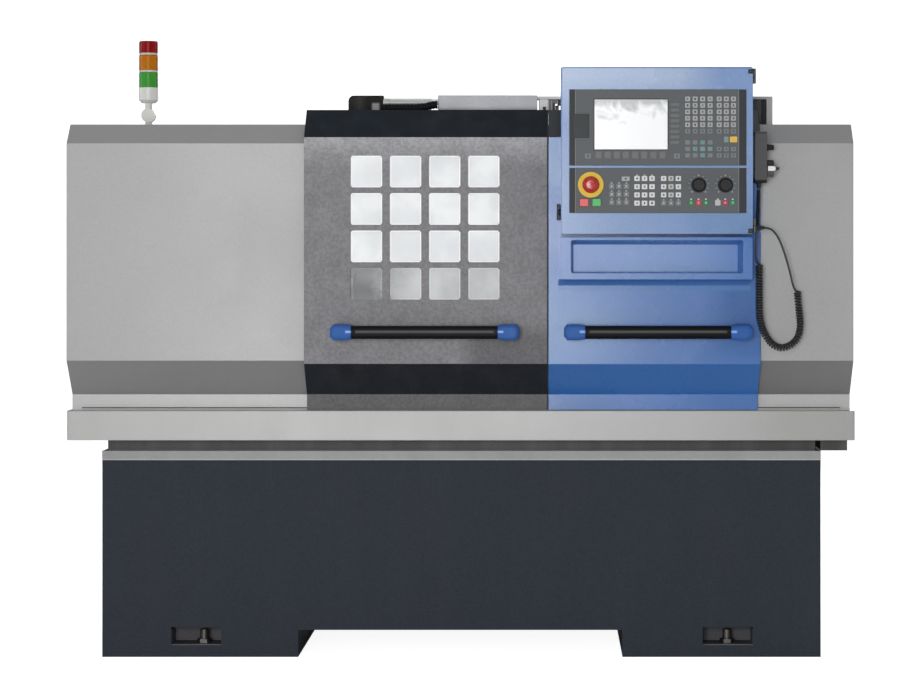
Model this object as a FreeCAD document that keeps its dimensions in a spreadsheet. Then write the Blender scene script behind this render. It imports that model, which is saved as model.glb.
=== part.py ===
import FreeCAD, Part
import Sketcher
import math
import os
from FreeCAD import Placement, Rotation, Vector

os.makedirs("parts", exist_ok=True)
doc = FreeCAD.newDocument("turning_lathe")

# Frame: +X runs along the bed to the tailstock end, +Z is up, and the front, where the operator stands, faces -Y.
# The origin is on the floor under the middle of the machine. Lengths are millimetres.


# ---------------------------------------------------------------- driving dimensions

class Size:
    """A length that carries its number and the spreadsheet expression it comes from."""

    def __init__(self, value, text):
        self.value = float(value)
        self.text = text

    def mix(self, other, sign, turned=False):
        other = size_of(other)
        a, b = (other, self) if turned else (self, other)
        results = {"+": a.value + b.value, "-": a.value - b.value, "*": a.value * b.value}
        value = results[sign] if sign in results else a.value / b.value
        return Size(value, f"({a.text} {sign} {b.text})")

    def __add__(self, other):
        return self.mix(other, "+")

    def __radd__(self, other):
        return self.mix(other, "+", True)

    def __sub__(self, other):
        return self.mix(other, "-")

    def __rsub__(self, other):
        return self.mix(other, "-", True)

    def __mul__(self, other):
        return self.mix(other, "*")

    def __rmul__(self, other):
        return self.mix(other, "*", True)

    def __truediv__(self, other):
        return self.mix(other, "/")

    def __rtruediv__(self, other):
        return self.mix(other, "/", True)

    def __neg__(self):
        return Size(-self.value, f"(0 - {self.text})")

    def __float__(self):
        return self.value


def size_of(thing):
    return thing if isinstance(thing, Size) else Size(thing, repr(float(thing)))


sheet = doc.addObject("Spreadsheet::Sheet", "Sizes")
sheet_rows = 0


def dimension(alias, value, words):
    """Writes one driving dimension to its own row of the sheet and hands it back as a Size."""
    global sheet_rows
    sheet_rows += 1
    sheet.set(f"A{sheet_rows}", words)
    sheet.set(f"B{sheet_rows}", str(value))
    sheet.setAlias(f"B{sheet_rows}", alias)
    sheet.recompute()
    return Size(sheet.get(alias), f"Sizes.{alias}")


# ---------------------------------------------------------------- ways of making a piece

PLANE_TURN = {"XY_Plane": 1.0, "XZ_Plane": -1.0, "YZ_Plane": 1.0}
made = 0


def fresh(word):
    global made
    made += 1
    return f"{word}_{made}"


def bind(thing, prop, value):
    """Sets a property, and ties it to the sheet where the value comes from there."""
    value = size_of(value)
    if "Sizes." in value.text:
        thing.setExpression(prop, value.text)
    else:
        owner, _, field = prop.partition(".")
        if owner == "Placement":
            place = thing.Placement
            setattr(place.Base, field[-1], value.value)
            thing.Placement = place
        else:
            setattr(thing, prop, value.value)


def put(thing, x=0, y=0, z=0, axis=(0, 0, 1), turn=0):
    """Places an object at a point, turned by a fixed angle about an axis."""
    thing.Placement = Placement(Vector(float(x), float(y), float(z)), Rotation(Vector(*axis), float(turn)))
    for field, value in (("x", x), ("y", y), ("z", z)):
        if "Sizes." in size_of(value).text:
            thing.setExpression(f"Placement.Base.{field}", size_of(value).text)
    return thing


def box(low, high):
    """A block between two corners."""
    block = doc.addObject("Part::Box", fresh("Block"))
    for prop, a, b in zip(("Length", "Width", "Height"), low, high):
        bind(block, prop, size_of(b) - a)
    return put(block, *low)


AXIS_TURN = {"x": ((0, 1, 0), 90), "-x": ((0, 1, 0), -90), "y": ((1, 0, 0), -90), "-y": ((1, 0, 0), 90),
             "z": ((0, 0, 1), 0), "-z": ((1, 0, 0), 180)}


def rod(radius, length, start, along):
    """A round bar from a start point along an axis."""
    bar = doc.addObject("Part::Cylinder", fresh("Rod"))
    bind(bar, "Radius", radius)
    bind(bar, "Height", length)
    return put(bar, *start, *AXIS_TURN[along])


def cone(radius_start, radius_end, length, start, along):
    taper = doc.addObject("Part::Cone", fresh("Taper"))
    bind(taper, "Radius1", radius_start)
    bind(taper, "Radius2", radius_end)
    bind(taper, "Height", length)
    return put(taper, *start, *AXIS_TURN[along])


def fuse(*things):
    joined = doc.addObject("Part::MultiFuse", fresh("Joined"))
    joined.Shapes = list(things)
    joined.Refine = True
    return joined


def cut(base, *tools):
    """Takes tools away from a base."""
    trimmed = doc.addObject("Part::Cut", fresh("Trimmed"))
    trimmed.Base = base
    trimmed.Tool = tools[0] if len(tools) == 1 else group(*tools)
    return trimmed


def group(*things):
    """Separate solids kept together."""
    bundle = doc.addObject("Part::Compound", fresh("Group"))
    bundle.Links = list(things)
    return bundle


def new_sketch(body, role, level):
    sketch = body.newObject("Sketcher::SketchObject", fresh("Sketch"))
    plane = [f for f in body.Origin.OriginFeatures if f.Role == role][0]
    sketch.AttachmentSupport = [(plane, "")]
    sketch.MapMode = "FlatFace"
    level = size_of(level) * PLANE_TURN[role]
    sketch.AttachmentOffset = Placement(Vector(0, 0, level.value), Rotation())
    if "Sizes." in level.text:
        sketch.setExpression("AttachmentOffset.Base.z", level.text)
    return sketch


def hold_point(sketch, edge, end, u, v):
    """Holds an edge's end at a place measured from the sketch's origin."""
    for kind, value, axis_line in (("DistanceX", u, -2), ("DistanceY", v, -1)):
        value = size_of(value)
        if "Sizes." not in value.text and value.value == 0:
            sketch.addConstraint(Sketcher.Constraint("PointOnObject", edge, end, axis_line))
            continue
        row = sketch.addConstraint(Sketcher.Constraint(kind, -1, 1, edge, end, value.value))
        if "Sizes." in value.text:
            sketch.setExpression(f"Constraints[{row}]", value.text)


def draw_loop(sketch, points):
    """Closes straight edges through the points."""
    first = sketch.GeometryCount
    count = len(points)
    flat = [Vector(float(u), float(v), 0) for u, v in points]
    for i in range(count):
        sketch.addGeometry(Part.LineSegment(flat[i], flat[(i + 1) % count]), False)
    for i in range(count):
        sketch.addConstraint(Sketcher.Constraint("Coincident", first + i, 2, first + (i + 1) % count, 1))
    for i, (u, v) in enumerate(points):
        hold_point(sketch, first + i, 1, u, v)


def draw_circle(sketch, u, v, radius):
    edge = sketch.addGeometry(Part.Circle(Vector(float(u), float(v), 0), Vector(0, 0, 1), float(radius)), False)
    hold_point(sketch, edge, 3, u, v)
    row = sketch.addConstraint(Sketcher.Constraint("Radius", edge, float(radius)))
    if "Sizes." in size_of(radius).text:
        sketch.setExpression(f"Constraints[{row}]", size_of(radius).text)


def draw_rounded(sketch, low, high, radius):
    """A rectangle with round corners: four straight edges and four tangent quarter arcs."""
    (u0, v0), (u1, v1) = low, high
    r = float(radius)
    a0, b0, a1, b1 = float(u0), float(v0), float(u1), float(v1)
    spots = ((a0 + r, b0, a1 - r, b0), (a1, b0 + r, a1, b1 - r), (a1 - r, b1, a0 + r, b1), (a0, b1 - r, a0, b0 + r))
    centres = ((a1 - r, b0 + r, 270), (a1 - r, b1 - r, 0), (a0 + r, b1 - r, 90), (a0 + r, b0 + r, 180))
    first = sketch.GeometryCount
    for spot, (cu, cv, start) in zip(spots, centres):
        sketch.addGeometry(Part.LineSegment(Vector(spot[0], spot[1], 0), Vector(spot[2], spot[3], 0)), False)
        circle = Part.Circle(Vector(cu, cv, 0), Vector(0, 0, 1), r)
        arc = Part.ArcOfCircle(circle, math.radians(start), math.radians(start + 90))
        sketch.addGeometry(arc, False)
    for i in range(4):
        line, arc, after = first + 2 * i, first + 2 * i + 1, first + (2 * i + 2) % 8
        sketch.addConstraint(Sketcher.Constraint("Tangent", line, 2, arc, 1))
        sketch.addConstraint(Sketcher.Constraint("Tangent", arc, 2, after, 1))
    for i in range(4):
        row = sketch.addConstraint(Sketcher.Constraint("Radius", first + 2 * i + 1, r))
        if "Sizes." in size_of(radius).text:
            sketch.setExpression(f"Constraints[{row}]", size_of(radius).text)
    for kind, edge, value in (("DistanceY", 0, v0), ("DistanceX", 2, u1), ("DistanceY", 4, v1), ("DistanceX", 6, u0)):
        row = sketch.addConstraint(Sketcher.Constraint(kind, -1, 1, first + edge, 1, float(value)))
        if "Sizes." in size_of(value).text:
            sketch.setExpression(f"Constraints[{row}]", size_of(value).text)
    sketch.addConstraint(Sketcher.Constraint("Horizontal", first))


class Body:
    """A PartDesign body that is built feature by feature from sketches on its own origin planes."""

    def __init__(self):
        self.body = doc.addObject("PartDesign::Body", fresh("Body"))

    def sketch(self, role, level, loops):
        drawn = new_sketch(self.body, role, level)
        for loop in loops:
            if loop[0] == "circle":
                draw_circle(drawn, *loop[1:])
            elif loop[0] == "rounded":
                draw_rounded(drawn, *loop[1:])
            else:
                draw_loop(drawn, loop)
        return drawn

    def pad(self, role, level, length, *loops):
        """Adds a thickness that grows along the plane's own positive world axis."""
        feature = self.body.newObject("PartDesign::Pad", fresh("Pad"))
        feature.Profile = self.sketch(role, level, loops)
        bind(feature, "Length", length)
        feature.Reversed = PLANE_TURN[role] < 0
        return self

    def pocket(self, role, level, length, *loops):
        """Cuts a depth that grows along the plane's own positive world axis."""
        before = self.volume()
        feature = self.body.newObject("PartDesign::Pocket", fresh("Pocket"))
        feature.Profile = self.sketch(role, level, loops)
        bind(feature, "Length", length)
        feature.Reversed = PLANE_TURN[role] > 0
        if self.volume() > before - 1e-6:
            raise RuntimeError(f"{feature.Name} cuts nothing")
        return self

    def turned(self, *loops):
        """Adds a round form: loops of (radius, height) swung about the body's Z axis."""
        feature = self.body.newObject("PartDesign::Revolution", fresh("Turned"))
        drawn = self.sketch("XZ_Plane", 0, loops)
        feature.Profile = drawn
        feature.ReferenceAxis = (drawn, ["V_Axis"])
        feature.Angle = 360
        return self

    def around(self, role, count):
        """Repeats the last feature evenly about the body's Z axis."""
        last = self.body.Tip
        feature = self.body.newObject("PartDesign::PolarPattern", fresh("Ring"))
        feature.Originals = [last]
        axis = [f for f in self.body.Origin.OriginFeatures if f.Role == role][0]
        feature.Axis = (axis, [""])
        feature.Angle = 360
        feature.Occurrences = int(float(count))
        self.body.Tip = feature
        return self

    def grid(self, across, up):
        """Repeats the last feature in rows along the world's X and Z axes; each row is (count, pitch)."""
        last = self.body.Tip
        steps = []
        feature = self.body.newObject("PartDesign::MultiTransform", fresh("Grid"))
        for role, (count, pitch) in (("X_Axis", across), ("Z_Axis", up)):
            step = self.body.newObject("PartDesign::LinearPattern", fresh("Step"))
            step.Direction = ([f for f in self.body.Origin.OriginFeatures if f.Role == role][0], [""])
            bind(step, "Length", (count - 1) * pitch)
            step.Occurrences = int(float(count))
            steps.append(step)
        feature.Originals = [last]
        feature.Transformations = steps
        self.body.Tip = feature
        return self

    def soften(self, kind, size, wanted):
        """Rounds or chamfers the edges that a test on their middle point and length picks."""
        doc.recompute()
        tip = self.body.Tip
        names = []
        for i, edge in enumerate(tip.Shape.Edges, 1):
            if wanted(edge):
                names.append(f"Edge{i}")
        if not names:
            raise RuntimeError(f"{kind} finds no edge on {self.body.Name}")
        feature = self.body.newObject(f"PartDesign::{kind}", fresh(kind))
        feature.Base = (tip, names)
        bind(feature, "Radius" if kind == "Fillet" else "Size", size)
        return self

    def volume(self):
        doc.recompute()
        return self.body.Shape.Volume if not self.body.Shape.isNull() else 0.0

    def at(self, x=0, y=0, z=0, along="z"):
        """Moves the finished body, with its Z axis laid along a world axis."""
        return put(self.body, x, y, z, *AXIS_TURN[along])


def middle(edge):
    return edge.valueAt((edge.FirstParameter + edge.LastParameter) / 2)


def runs_along(edge, axis):
    """True for a straight edge that lies along one world axis."""
    if edge.Curve.TypeId != "Part::GeomLine":
        return False
    way = edge.tangentAt(edge.FirstParameter)
    return abs(abs(getattr(way, axis)) - 1) < 1e-6


nodes = {}


def node(label, thing):
    """Names a finished piece: its label is its file's name."""
    thing.Label = label
    nodes[label] = thing
    return thing


# ---------------------------------------------------------------- base cabinet, neck, tray and feet

gap = dimension("running_gap", 0.4, "gap between pieces that move past each other")
seat = dimension("seat_gap", 0.2, "gap between pieces that are fitted together")
tray_length = dimension("tray_length", 2200, "chip tray, left to right")
tray_overhang = dimension("tray_overhang", 89, "how far the chip tray reaches past the base at each end")
base_length = tray_length - 2 * tray_overhang
base_front = dimension("base_front", 390, "base cabinet's front, ahead of the middle")
base_back = dimension("base_back", 330, "base cabinet's back, behind the middle")
base_top = dimension("base_top", 554, "base cabinet's height")
base_wall = dimension("base_wall", 6, "base cabinet's plate")
foot_left = dimension("foot_left", 551.5, "left foot, from the base's end to the arch")
foot_right = dimension("foot_right", 558, "right foot, from the base's end to the arch")
arch_height = dimension("arch_height", 76, "height of the arch between the feet")
slot_low = dimension("slot_low", 34, "bottom of the levelling windows")
slot_high = dimension("slot_high", 84, "top of the levelling windows")
slot_wide = dimension("slot_wide", 141, "width of the levelling windows")
slot_inset_left = dimension("slot_inset_left", 194, "left window, in from the base's end")
slot_inset_right = dimension("slot_inset_right", 191, "right window, in from the base's end")
slot_deep = dimension("slot_deep", 90, "depth of the levelling pockets")
band_top = dimension("band_top", 580, "top of the light band on the base")
neck_top = dimension("neck_top", 614, "top of the recessed neck, where the tray sits")
neck_inset = dimension("neck_inset", 14, "how far the neck stands back from the base")
neck_ledge = dimension("neck_ledge", 60, "width of the neck's ring")

base_x0 = -base_length / 2
base_x1 = base_length / 2
base_y0 = -base_front
arch_x0 = base_x0 + foot_left
arch_x1 = base_x1 - foot_right

cabinet = Body()
cabinet.pad("XZ_Plane", base_y0, base_front + base_back,
            [(base_x0, 0), (arch_x0, 0), (arch_x0, arch_height), (arch_x1, arch_height), (arch_x1, 0),
             (base_x1, 0), (base_x1, base_top), (base_x0, base_top)])
cabinet.pocket("XZ_Plane", base_y0 + base_wall, base_front + base_back - 2 * base_wall,
               [(base_x0 + base_wall, base_wall), (arch_x0 - base_wall, base_wall),
                (arch_x0 - base_wall, arch_height + base_wall), (arch_x1 + base_wall, arch_height + base_wall),
                (arch_x1 + base_wall, base_wall), (base_x1 - base_wall, base_wall),
                (base_x1 - base_wall, base_top - base_wall), (base_x0 + base_wall, base_top - base_wall)])
slot_x = (base_x0 + slot_inset_left, base_x1 - slot_inset_right - slot_wide)
pocket_walls = [box((x - base_wall, base_y0 + base_wall / 2, base_wall / 2),
                    (x + slot_wide + base_wall, base_y0 + slot_deep + base_wall, slot_high + base_wall)) for x in slot_x]
pocket_rooms = [box((x, base_y0 - 1, slot_low), (x + slot_wide, base_y0 + slot_deep, slot_high)) for x in slot_x]
foot_bolt = dimension("foot_bolt", 12, "radius of a levelling bolt")
foot_y = base_y0 + slot_deep / 2
foot_spots = [(base_x0 + slot_inset_left + 0.62 * slot_wide, foot_y), (base_x1 - slot_inset_right - 0.5 * slot_wide, foot_y)]
bolt_holes = [rod(foot_bolt + seat, slot_low + 2, (x, y, -1), "z") for x, y in foot_spots]
node("base_cabinet", cut(fuse(cabinet.body, *pocket_walls), *pocket_rooms, *bolt_holes))

foot_nut = dimension("foot_nut", 20, "half width of a levelling nut over its corners")
foot_rise = dimension("foot_rise", 38, "how far a levelling bolt stands in its window")
feet = []
for x, y in foot_spots:
    nut = doc.addObject("Part::Prism", fresh("Nut"))
    nut.Polygon = 6
    bind(nut, "Circumradius", foot_nut)
    bind(nut, "Height", foot_bolt)
    put(nut, x, y, slot_low)
    feet.append(fuse(rod(foot_bolt, slot_low + foot_rise, (x, y, 0), "z"), nut))
node("levelling_feet", group(*feet))

neck = Body()
neck_level = [(base_x0, -base_front - 2), (base_x1, -base_front - 2), (base_x1, base_back), (base_x0, base_back)]
neck_ring = [(base_x0 + neck_ledge, -base_front + neck_ledge), (base_x1 - neck_ledge, -base_front + neck_ledge),
             (base_x1 - neck_ledge, base_back - neck_ledge), (base_x0 + neck_ledge, base_back - neck_ledge)]
neck_upper = [(base_x0 + neck_inset, -base_front + neck_inset), (base_x1 - neck_inset, -base_front + neck_inset),
              (base_x1 - neck_inset, base_back - neck_inset), (base_x0 + neck_inset, base_back - neck_inset)]
neck.pad("XY_Plane", base_top, band_top - base_top, neck_level, neck_ring)
neck.pad("XY_Plane", band_top, neck_top - band_top, neck_upper, neck_ring)
node("base_neck", neck.body)

tray_front = dimension("tray_front", 450, "chip tray's front edge, ahead of the middle")
tray_back = dimension("tray_back", 400, "chip tray's back edge, behind the middle")
tray_top = dimension("tray_top", 696, "top of the chip tray's rim")
tray_floor = dimension("tray_floor", 3, "sheet of the chip tray")
tray_rim = dimension("tray_rim", 34, "width of the chip tray's flat rim")
tray_corner = dimension("tray_corner", 6, "corner radius of the chip tray's front")
tray_x0 = -tray_length / 2
tray_x1 = tray_length / 2
sump_inset = dimension("sump_inset", 13, "drain trough's end, in from the tray's right end")

tray = Body()
tray.pad("YZ_Plane", tray_x0, tray_length,
         [(-tray_front, neck_top), (tray_back, neck_top), (tray_back, tray_top), (-tray_front, tray_top)])
tray.pocket("XY_Plane", neck_top + tray_floor, tray_top - neck_top - tray_floor + 1,
            [(tray_x0 + tray_rim, -tray_front + tray_rim), (tray_x1 - tray_rim, -tray_front + tray_rim),
             (tray_x1 - tray_rim, tray_back - tray_rim), (tray_x0 + tray_rim, tray_back - tray_rim)])
tray.soften("Fillet", tray_corner, lambda e: runs_along(e, "z") and middle(e).y < 1 - float(tray_front))
sump_back = dimension("sump_back", 150, "drain trough's back, ahead of the middle")
sump = box((base_x1 + 0.5, -base_front + neck_inset, band_top), (tray_x1 - sump_inset, -sump_back, neck_top))
node("chip_tray", fuse(tray.body, sump))

# ---------------------------------------------------------------- sheet cabinets at both ends

cab_end = dimension("cab_end", 1088, "outer end of each side cabinet, out from the middle")
cab_face = dimension("cab_face", 513, "face of the side cabinets, ahead of the middle")
cab_skirt = dimension("cab_skirt", 425, "skirt of the side cabinets, ahead of the middle")
skirt_top = dimension("skirt_top", 741, "top of the upright skirt")
slope_top = dimension("slope_top", 839, "top of the lower slope")
chamfer_low = dimension("chamfer_low", 1440, "bottom of the top slope of the side cabinets")
cab_top = dimension("cab_top", 1495, "roof of the side cabinets")
cab_roof_front = dimension("cab_roof_front", 455, "front edge of the cabinet roofs, ahead of the middle")
cab_back = dimension("cab_back", 380, "back of the side cabinets, behind the middle")
sheet_metal = dimension("sheet_metal", 3, "sheet of cabinets and guards")
cab_left_inner = dimension("cab_left_inner", 400, "working side of the left cabinet, left of the middle")
cab_right_inner = dimension("cab_right_inner", 800, "working side of the right cabinet, right of the middle")


def cabinet_outline(base, inset):
    """Side view of a cabinet that stands on a level, drawn in from its outer faces."""
    return [(-cab_skirt + inset, base), (cab_back - inset, base), (cab_back - inset, cab_top - inset),
            (-cab_roof_front + inset / 2, cab_top - inset), (-cab_face + inset, chamfer_low - inset / 2),
            (-cab_face + inset, slope_top + inset / 2), (-cab_skirt + inset, skirt_top + inset / 2)]


def side_cabinet(outer_x, inner_x):
    """A bent sheet box, open downwards, with its working side wall towards the chuck."""
    left = float(outer_x) < float(inner_x)
    x0, x1 = (outer_x, inner_x) if left else (inner_x, outer_x)
    shell = Body()
    shell.pad("YZ_Plane", x0, x1 - x0, cabinet_outline(tray_top, 0))
    shell.pocket("YZ_Plane", x0 + sheet_metal, x1 - x0 - 2 * sheet_metal, cabinet_outline(tray_top - 1, sheet_metal))
    return shell


spindle_y = dimension("spindle_y", 20, "spindle's axis, ahead of the middle")
spindle_z = dimension("spindle_z", 1000, "spindle's axis above the floor")
nose_hole = dimension("nose_hole", 105, "radius of the hole round the spindle nose")
left_cab = side_cabinet(-cab_end, -cab_left_inner)
lid_thick = dimension("gear_lid_thick", 3, "thickness of the gear lid on the left cabinet's end")
lid_front = dimension("gear_lid_front", 380, "gear lid's front edge, ahead of the middle")
lid_back = dimension("gear_lid_back", 300, "gear lid's back edge, behind the middle")
lid_low = dimension("gear_lid_low", 800, "gear lid's lower edge")
lid_high = dimension("gear_lid_high", 1400, "gear lid's upper edge")
lid_corner = dimension("gear_lid_corner", 20, "corner radius of the gear lid")
louvre_inset = dimension("louvre_inset", 180, "louvres' ends, in from the edges of their panel")
louvre_drop = dimension("louvre_drop", 60, "first louvre, in from the edge of its panel")
louvre_slit = dimension("louvre_slit", 6, "height of a louvre")
louvre_pitch = dimension("louvre_pitch", 18, "pitch of the louvres")
louvre_rows = dimension("louvre_rows", 5, "louvres in a field")
louvre_last = lid_high - louvre_drop - (louvre_rows - 1) * louvre_pitch
gear_lid = Body()
gear_lid.pad("YZ_Plane", -cab_end - lid_thick, lid_thick, ("rounded", (-lid_front, lid_low), (lid_back, lid_high), lid_corner))
gear_lid.pocket("YZ_Plane", -cab_end - lid_thick - 1, lid_thick,
                [(-lid_front + louvre_inset, louvre_last - louvre_slit), (lid_back - louvre_inset, louvre_last - louvre_slit),
                 (lid_back - louvre_inset, louvre_last), (-lid_front + louvre_inset, louvre_last)])
gear_lid.grid((1, 1), (louvre_rows, louvre_pitch))
nose_opening = rod(nose_hole, 3 * sheet_metal, (-cab_left_inner - 2 * sheet_metal, -spindle_y, spindle_z), "x")
bed_top = dimension("bed_top", 830, "top of the bed's ways")
bed_front = dimension("bed_front", 150, "bed's front, ahead of the middle")
bed_back = dimension("bed_back", 130, "bed's back, behind the middle")
bed_room = dimension("bed_room", 70, "room left round the bed where it passes a cabinet wall")
bed_passage = box((-cab_left_inner - 2 * sheet_metal, -bed_front - bed_room, tray_top - 2),
                  (-cab_left_inner + sheet_metal, bed_back + bed_room, bed_top + 30))
node("left_cabinet", cut(fuse(left_cab.body, gear_lid.body), nose_opening, bed_passage))
right_cab = side_cabinet(cab_end, cab_right_inner)
tail_room = dimension("tail_room", 330, "height of the tailstock's passage above the ways")
tail_passage = box((cab_right_inner - sheet_metal, -bed_front - bed_room, tray_top - 2),
                   (cab_right_inner + 2 * sheet_metal, bed_back + bed_room, bed_top + tail_room))
node("right_cabinet", cut(right_cab.body, tail_passage))

guard_y = dimension("guard_y", 300, "rear splash guard, behind the middle")
guard_foot = dimension("guard_foot", 60, "width of the splash guard's bent foot and lip")
rear_guard = Body()
rear_guard.pad("YZ_Plane", -cab_left_inner + seat, cab_right_inner + cab_left_inner - 2 * seat,
               [(guard_y - guard_foot, tray_top), (guard_y, tray_top), (guard_y, cab_top - guard_foot),
                (guard_y - guard_foot, cab_top), (guard_y - guard_foot - sheet_metal, cab_top - sheet_metal),
                (guard_y - sheet_metal, cab_top - guard_foot - sheet_metal), (guard_y - sheet_metal, tray_top + sheet_metal),
                (guard_y - guard_foot, tray_top + sheet_metal)])
node("rear_guard", rear_guard.body)

# ---------------------------------------------------------------- bed, headstock and drive

fit = dimension("shaft_fit", 0.05, "radial running clearance of a shaft in its bore")
bed_left = dimension("bed_left", 925, "bed's left end, left of the middle")
bed_right = dimension("bed_right", 880, "bed's right end, right of the middle")
vee_width = dimension("vee_width", 50, "width of each way")
vee_rise = dimension("vee_rise", 10, "height of the vee way's ridge above the flat way")
web = dimension("bed_web", 25, "how far the bed's webs stand in from its flanges")
bed_floor = neck_top + tray_floor
way_edge = bed_top - 12
under_way = bed_top - 38
vee_middle = -bed_front + vee_width / 2

bed = Body()
bed.pad("YZ_Plane", -bed_left, bed_left + bed_right,
        [(-bed_front, bed_floor), (bed_back, bed_floor), (bed_back, bed_floor + 35), (bed_back - web, bed_floor + 55),
         (bed_back - web, under_way - 22), (bed_back, under_way), (bed_back, bed_top), (bed_back - vee_width, bed_top),
         (bed_back - vee_width, under_way), (bed_back - vee_width - 20, under_way - 22),
         (bed_back - vee_width - 20, bed_floor + 85), (-bed_front + vee_width + 20, bed_floor + 85),
         (-bed_front + vee_width + 20, under_way - 22), (-bed_front + vee_width, under_way),
         (-bed_front + vee_width, way_edge), (vee_middle, bed_top + vee_rise), (-bed_front, way_edge),
         (-bed_front, under_way), (-bed_front + web, under_way - 22), (-bed_front + web, bed_floor + 55),
         (-bed_front, bed_floor + 35)])
node("lathe_bed", bed.body)


def saddle_outline(front, back, skirt, high, clearance):
    """Cross section of a piece that sits on both ways, with its vee hollow over the ridge."""
    return [(front, bed_top - skirt), (-bed_front - clearance, bed_top - skirt), (-bed_front - clearance, way_edge + clearance),
            (vee_middle, bed_top + vee_rise + clearance), (-bed_front + vee_width + clearance, way_edge + clearance),
            (-bed_front + vee_width + clearance, bed_top + 8), (bed_back - vee_width - 4, bed_top + 8),
            (bed_back - vee_width - 4, bed_top + clearance), (back, bed_top + clearance), (back, high), (front, high)]


head_left = dimension("head_left", 915, "headstock's left face, left of the middle")
head_right = dimension("head_right", 430, "headstock's right face, left of the middle")
head_top = dimension("head_top", 1165, "headstock's top")
spindle_r = dimension("spindle_radius", 45, "radius of the spindle in its bearings")
spindle_bore = dimension("spindle_bore", 26, "radius of the hole through the spindle")
nose_r = dimension("nose_radius", 70, "radius of the spindle's flanged nose")
nose_length = dimension("nose_length", 88, "length of the spindle's flanged nose")

headstock = Body()
headstock.pad("YZ_Plane", -head_left, head_left - head_right,
              saddle_outline(-bed_front - 22, bed_back + 16, 8, head_top, 0.2))
headstock.soften("Chamfer", 20, lambda e: runs_along(e, "x") and middle(e).z > float(head_top) - 1)
bearing_cap = rod(nose_r + 22, 14, (-head_right, -spindle_y, spindle_z), "x")
spindle_hole = rod(spindle_r + fit, head_left - head_right + 40, (-head_left - 10, -spindle_y, spindle_z), "x")
node("headstock", cut(fuse(headstock.body, bearing_cap), spindle_hole))

spindle_tail = dimension("spindle_tail", 1000, "spindle's left end, left of the middle")
cap_front = -head_right + 14
nose_x = cap_front + gap
chuck_x = nose_x + nose_length
spindle = Body()
spindle.turned([(spindle_bore, 0), (spindle_r, 0), (spindle_r, spindle_tail + nose_x), (nose_r, spindle_tail + nose_x),
                (nose_r, spindle_tail + chuck_x), (spindle_bore, spindle_tail + chuck_x)])
spindle.at(-spindle_tail, -spindle_y, spindle_z, "x")

pulley_width = dimension("pulley_width", 56, "width of the belt pulleys")
pulley_r = dimension("spindle_pulley_radius", 80, "radius of the spindle's pulley")
pulley_x = -head_left - 10 - pulley_width
flange = dimension("pulley_flange", 6, "how far a pulley's flanges stand up")


def pulley(outer, bore, x, y, z):
    """A flanged pulley with a dished web."""
    wheel = Body()
    wheel.turned([(bore, 0), (outer + flange, 0), (outer + flange, 3), (outer, 5), (outer, pulley_width - 5),
                  (outer + flange, pulley_width - 3), (outer + flange, pulley_width), (bore, pulley_width)])
    return wheel.at(x, y, z, "x")


spindle_pulley = pulley(pulley_r, spindle_r + seat, pulley_x, -spindle_y, spindle_z)
node("spindle", group(spindle.body, spindle_pulley))

chuck_r = dimension("chuck_radius", 92, "radius of the three-jaw chuck")
chuck_deep = dimension("chuck_deep", 78, "length of the chuck body")
chuck_bore = dimension("chuck_bore", 24, "radius of the hole through the chuck")
jaw_width = dimension("jaw_width", 24, "width of a chuck jaw")
jaw_tongue = dimension("jaw_tongue", 26, "depth of a jaw's tongue in the chuck")
chuck = Body()
chuck.turned([(chuck_bore, 0), (chuck_r - 4, 0), (chuck_r, 4), (chuck_r, chuck_deep - 6), (chuck_r - 6, chuck_deep),
              (chuck_bore, chuck_deep)])
chuck.pocket("YZ_Plane", chuck_bore - 4, chuck_r,
             [(-jaw_width / 2 - 0.3, chuck_deep - jaw_tongue - 0.3), (jaw_width / 2 + 0.3, chuck_deep - jaw_tongue - 0.3),
              (jaw_width / 2 + 0.3, chuck_deep + 1), (-jaw_width / 2 - 0.3, chuck_deep + 1)])
chuck.around("Z_Axis", 3)
chuck.at(chuck_x + seat, -spindle_y, spindle_z, "x")
node("chuck_body", chuck.body)

jaw_grip = dimension("jaw_grip", 30, "how far the jaws' inner steps stand from the axis at rest")
jaw_base = chuck_deep - jaw_tongue
for i in range(3):
    jaw = Body()
    jaw.pad("XZ_Plane", -jaw_width / 2, jaw_width,
            [(jaw_grip, jaw_base), (jaw_grip + 48, jaw_base), (jaw_grip + 48, chuck_deep + 12),
             (jaw_grip + 34, chuck_deep + 12), (jaw_grip + 34, chuck_deep + 24), (jaw_grip + 18, chuck_deep + 24),
             (jaw_grip + 18, chuck_deep + 38), (jaw_grip, chuck_deep + 38)])
    swing = Rotation(Vector(0, 1, 0), 90) * Rotation(Vector(0, 0, 1), 120 * i)
    put(jaw.body, chuck_x + seat, -spindle_y, spindle_z)
    jaw.body.Placement = Placement(jaw.body.Placement.Base, swing)
    node(f"chuck_jaw_{i + 1}", jaw.body)

motor_y = dimension("motor_y", 255, "main motor's axis, behind the middle")
motor_z = dimension("motor_z", 800, "main motor's axis above the floor")
motor_r = dimension("motor_radius", 82, "radius of the main motor")
motor_length = dimension("motor_length", 300, "length of the main motor")
motor_shaft = dimension("motor_shaft", 19, "radius of the motor's shaft")
motor_pulley_r = dimension("motor_pulley_radius", 52, "radius of the motor's pulley")
motor_x = pulley_x + pulley_width + 12
stator = Body()
stator.pad("YZ_Plane", motor_x, motor_length, ("circle", motor_y, motor_z, motor_r))
motor_foot = box((motor_x + 60, motor_y - 70, bed_floor), (motor_x + motor_length - 40, motor_y + 70, motor_z - 0.8 * motor_r))
motor_box = box((motor_x + 90, motor_y - 45, motor_z + 0.8 * motor_r), (motor_x + 200, motor_y + 45, motor_z + motor_r + 40))
shaft_hole = rod(motor_shaft + fit, 40, (motor_x - 1, motor_y, motor_z), "x")
node("main_motor", cut(fuse(stator.body, motor_foot, motor_box), shaft_hole))

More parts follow.
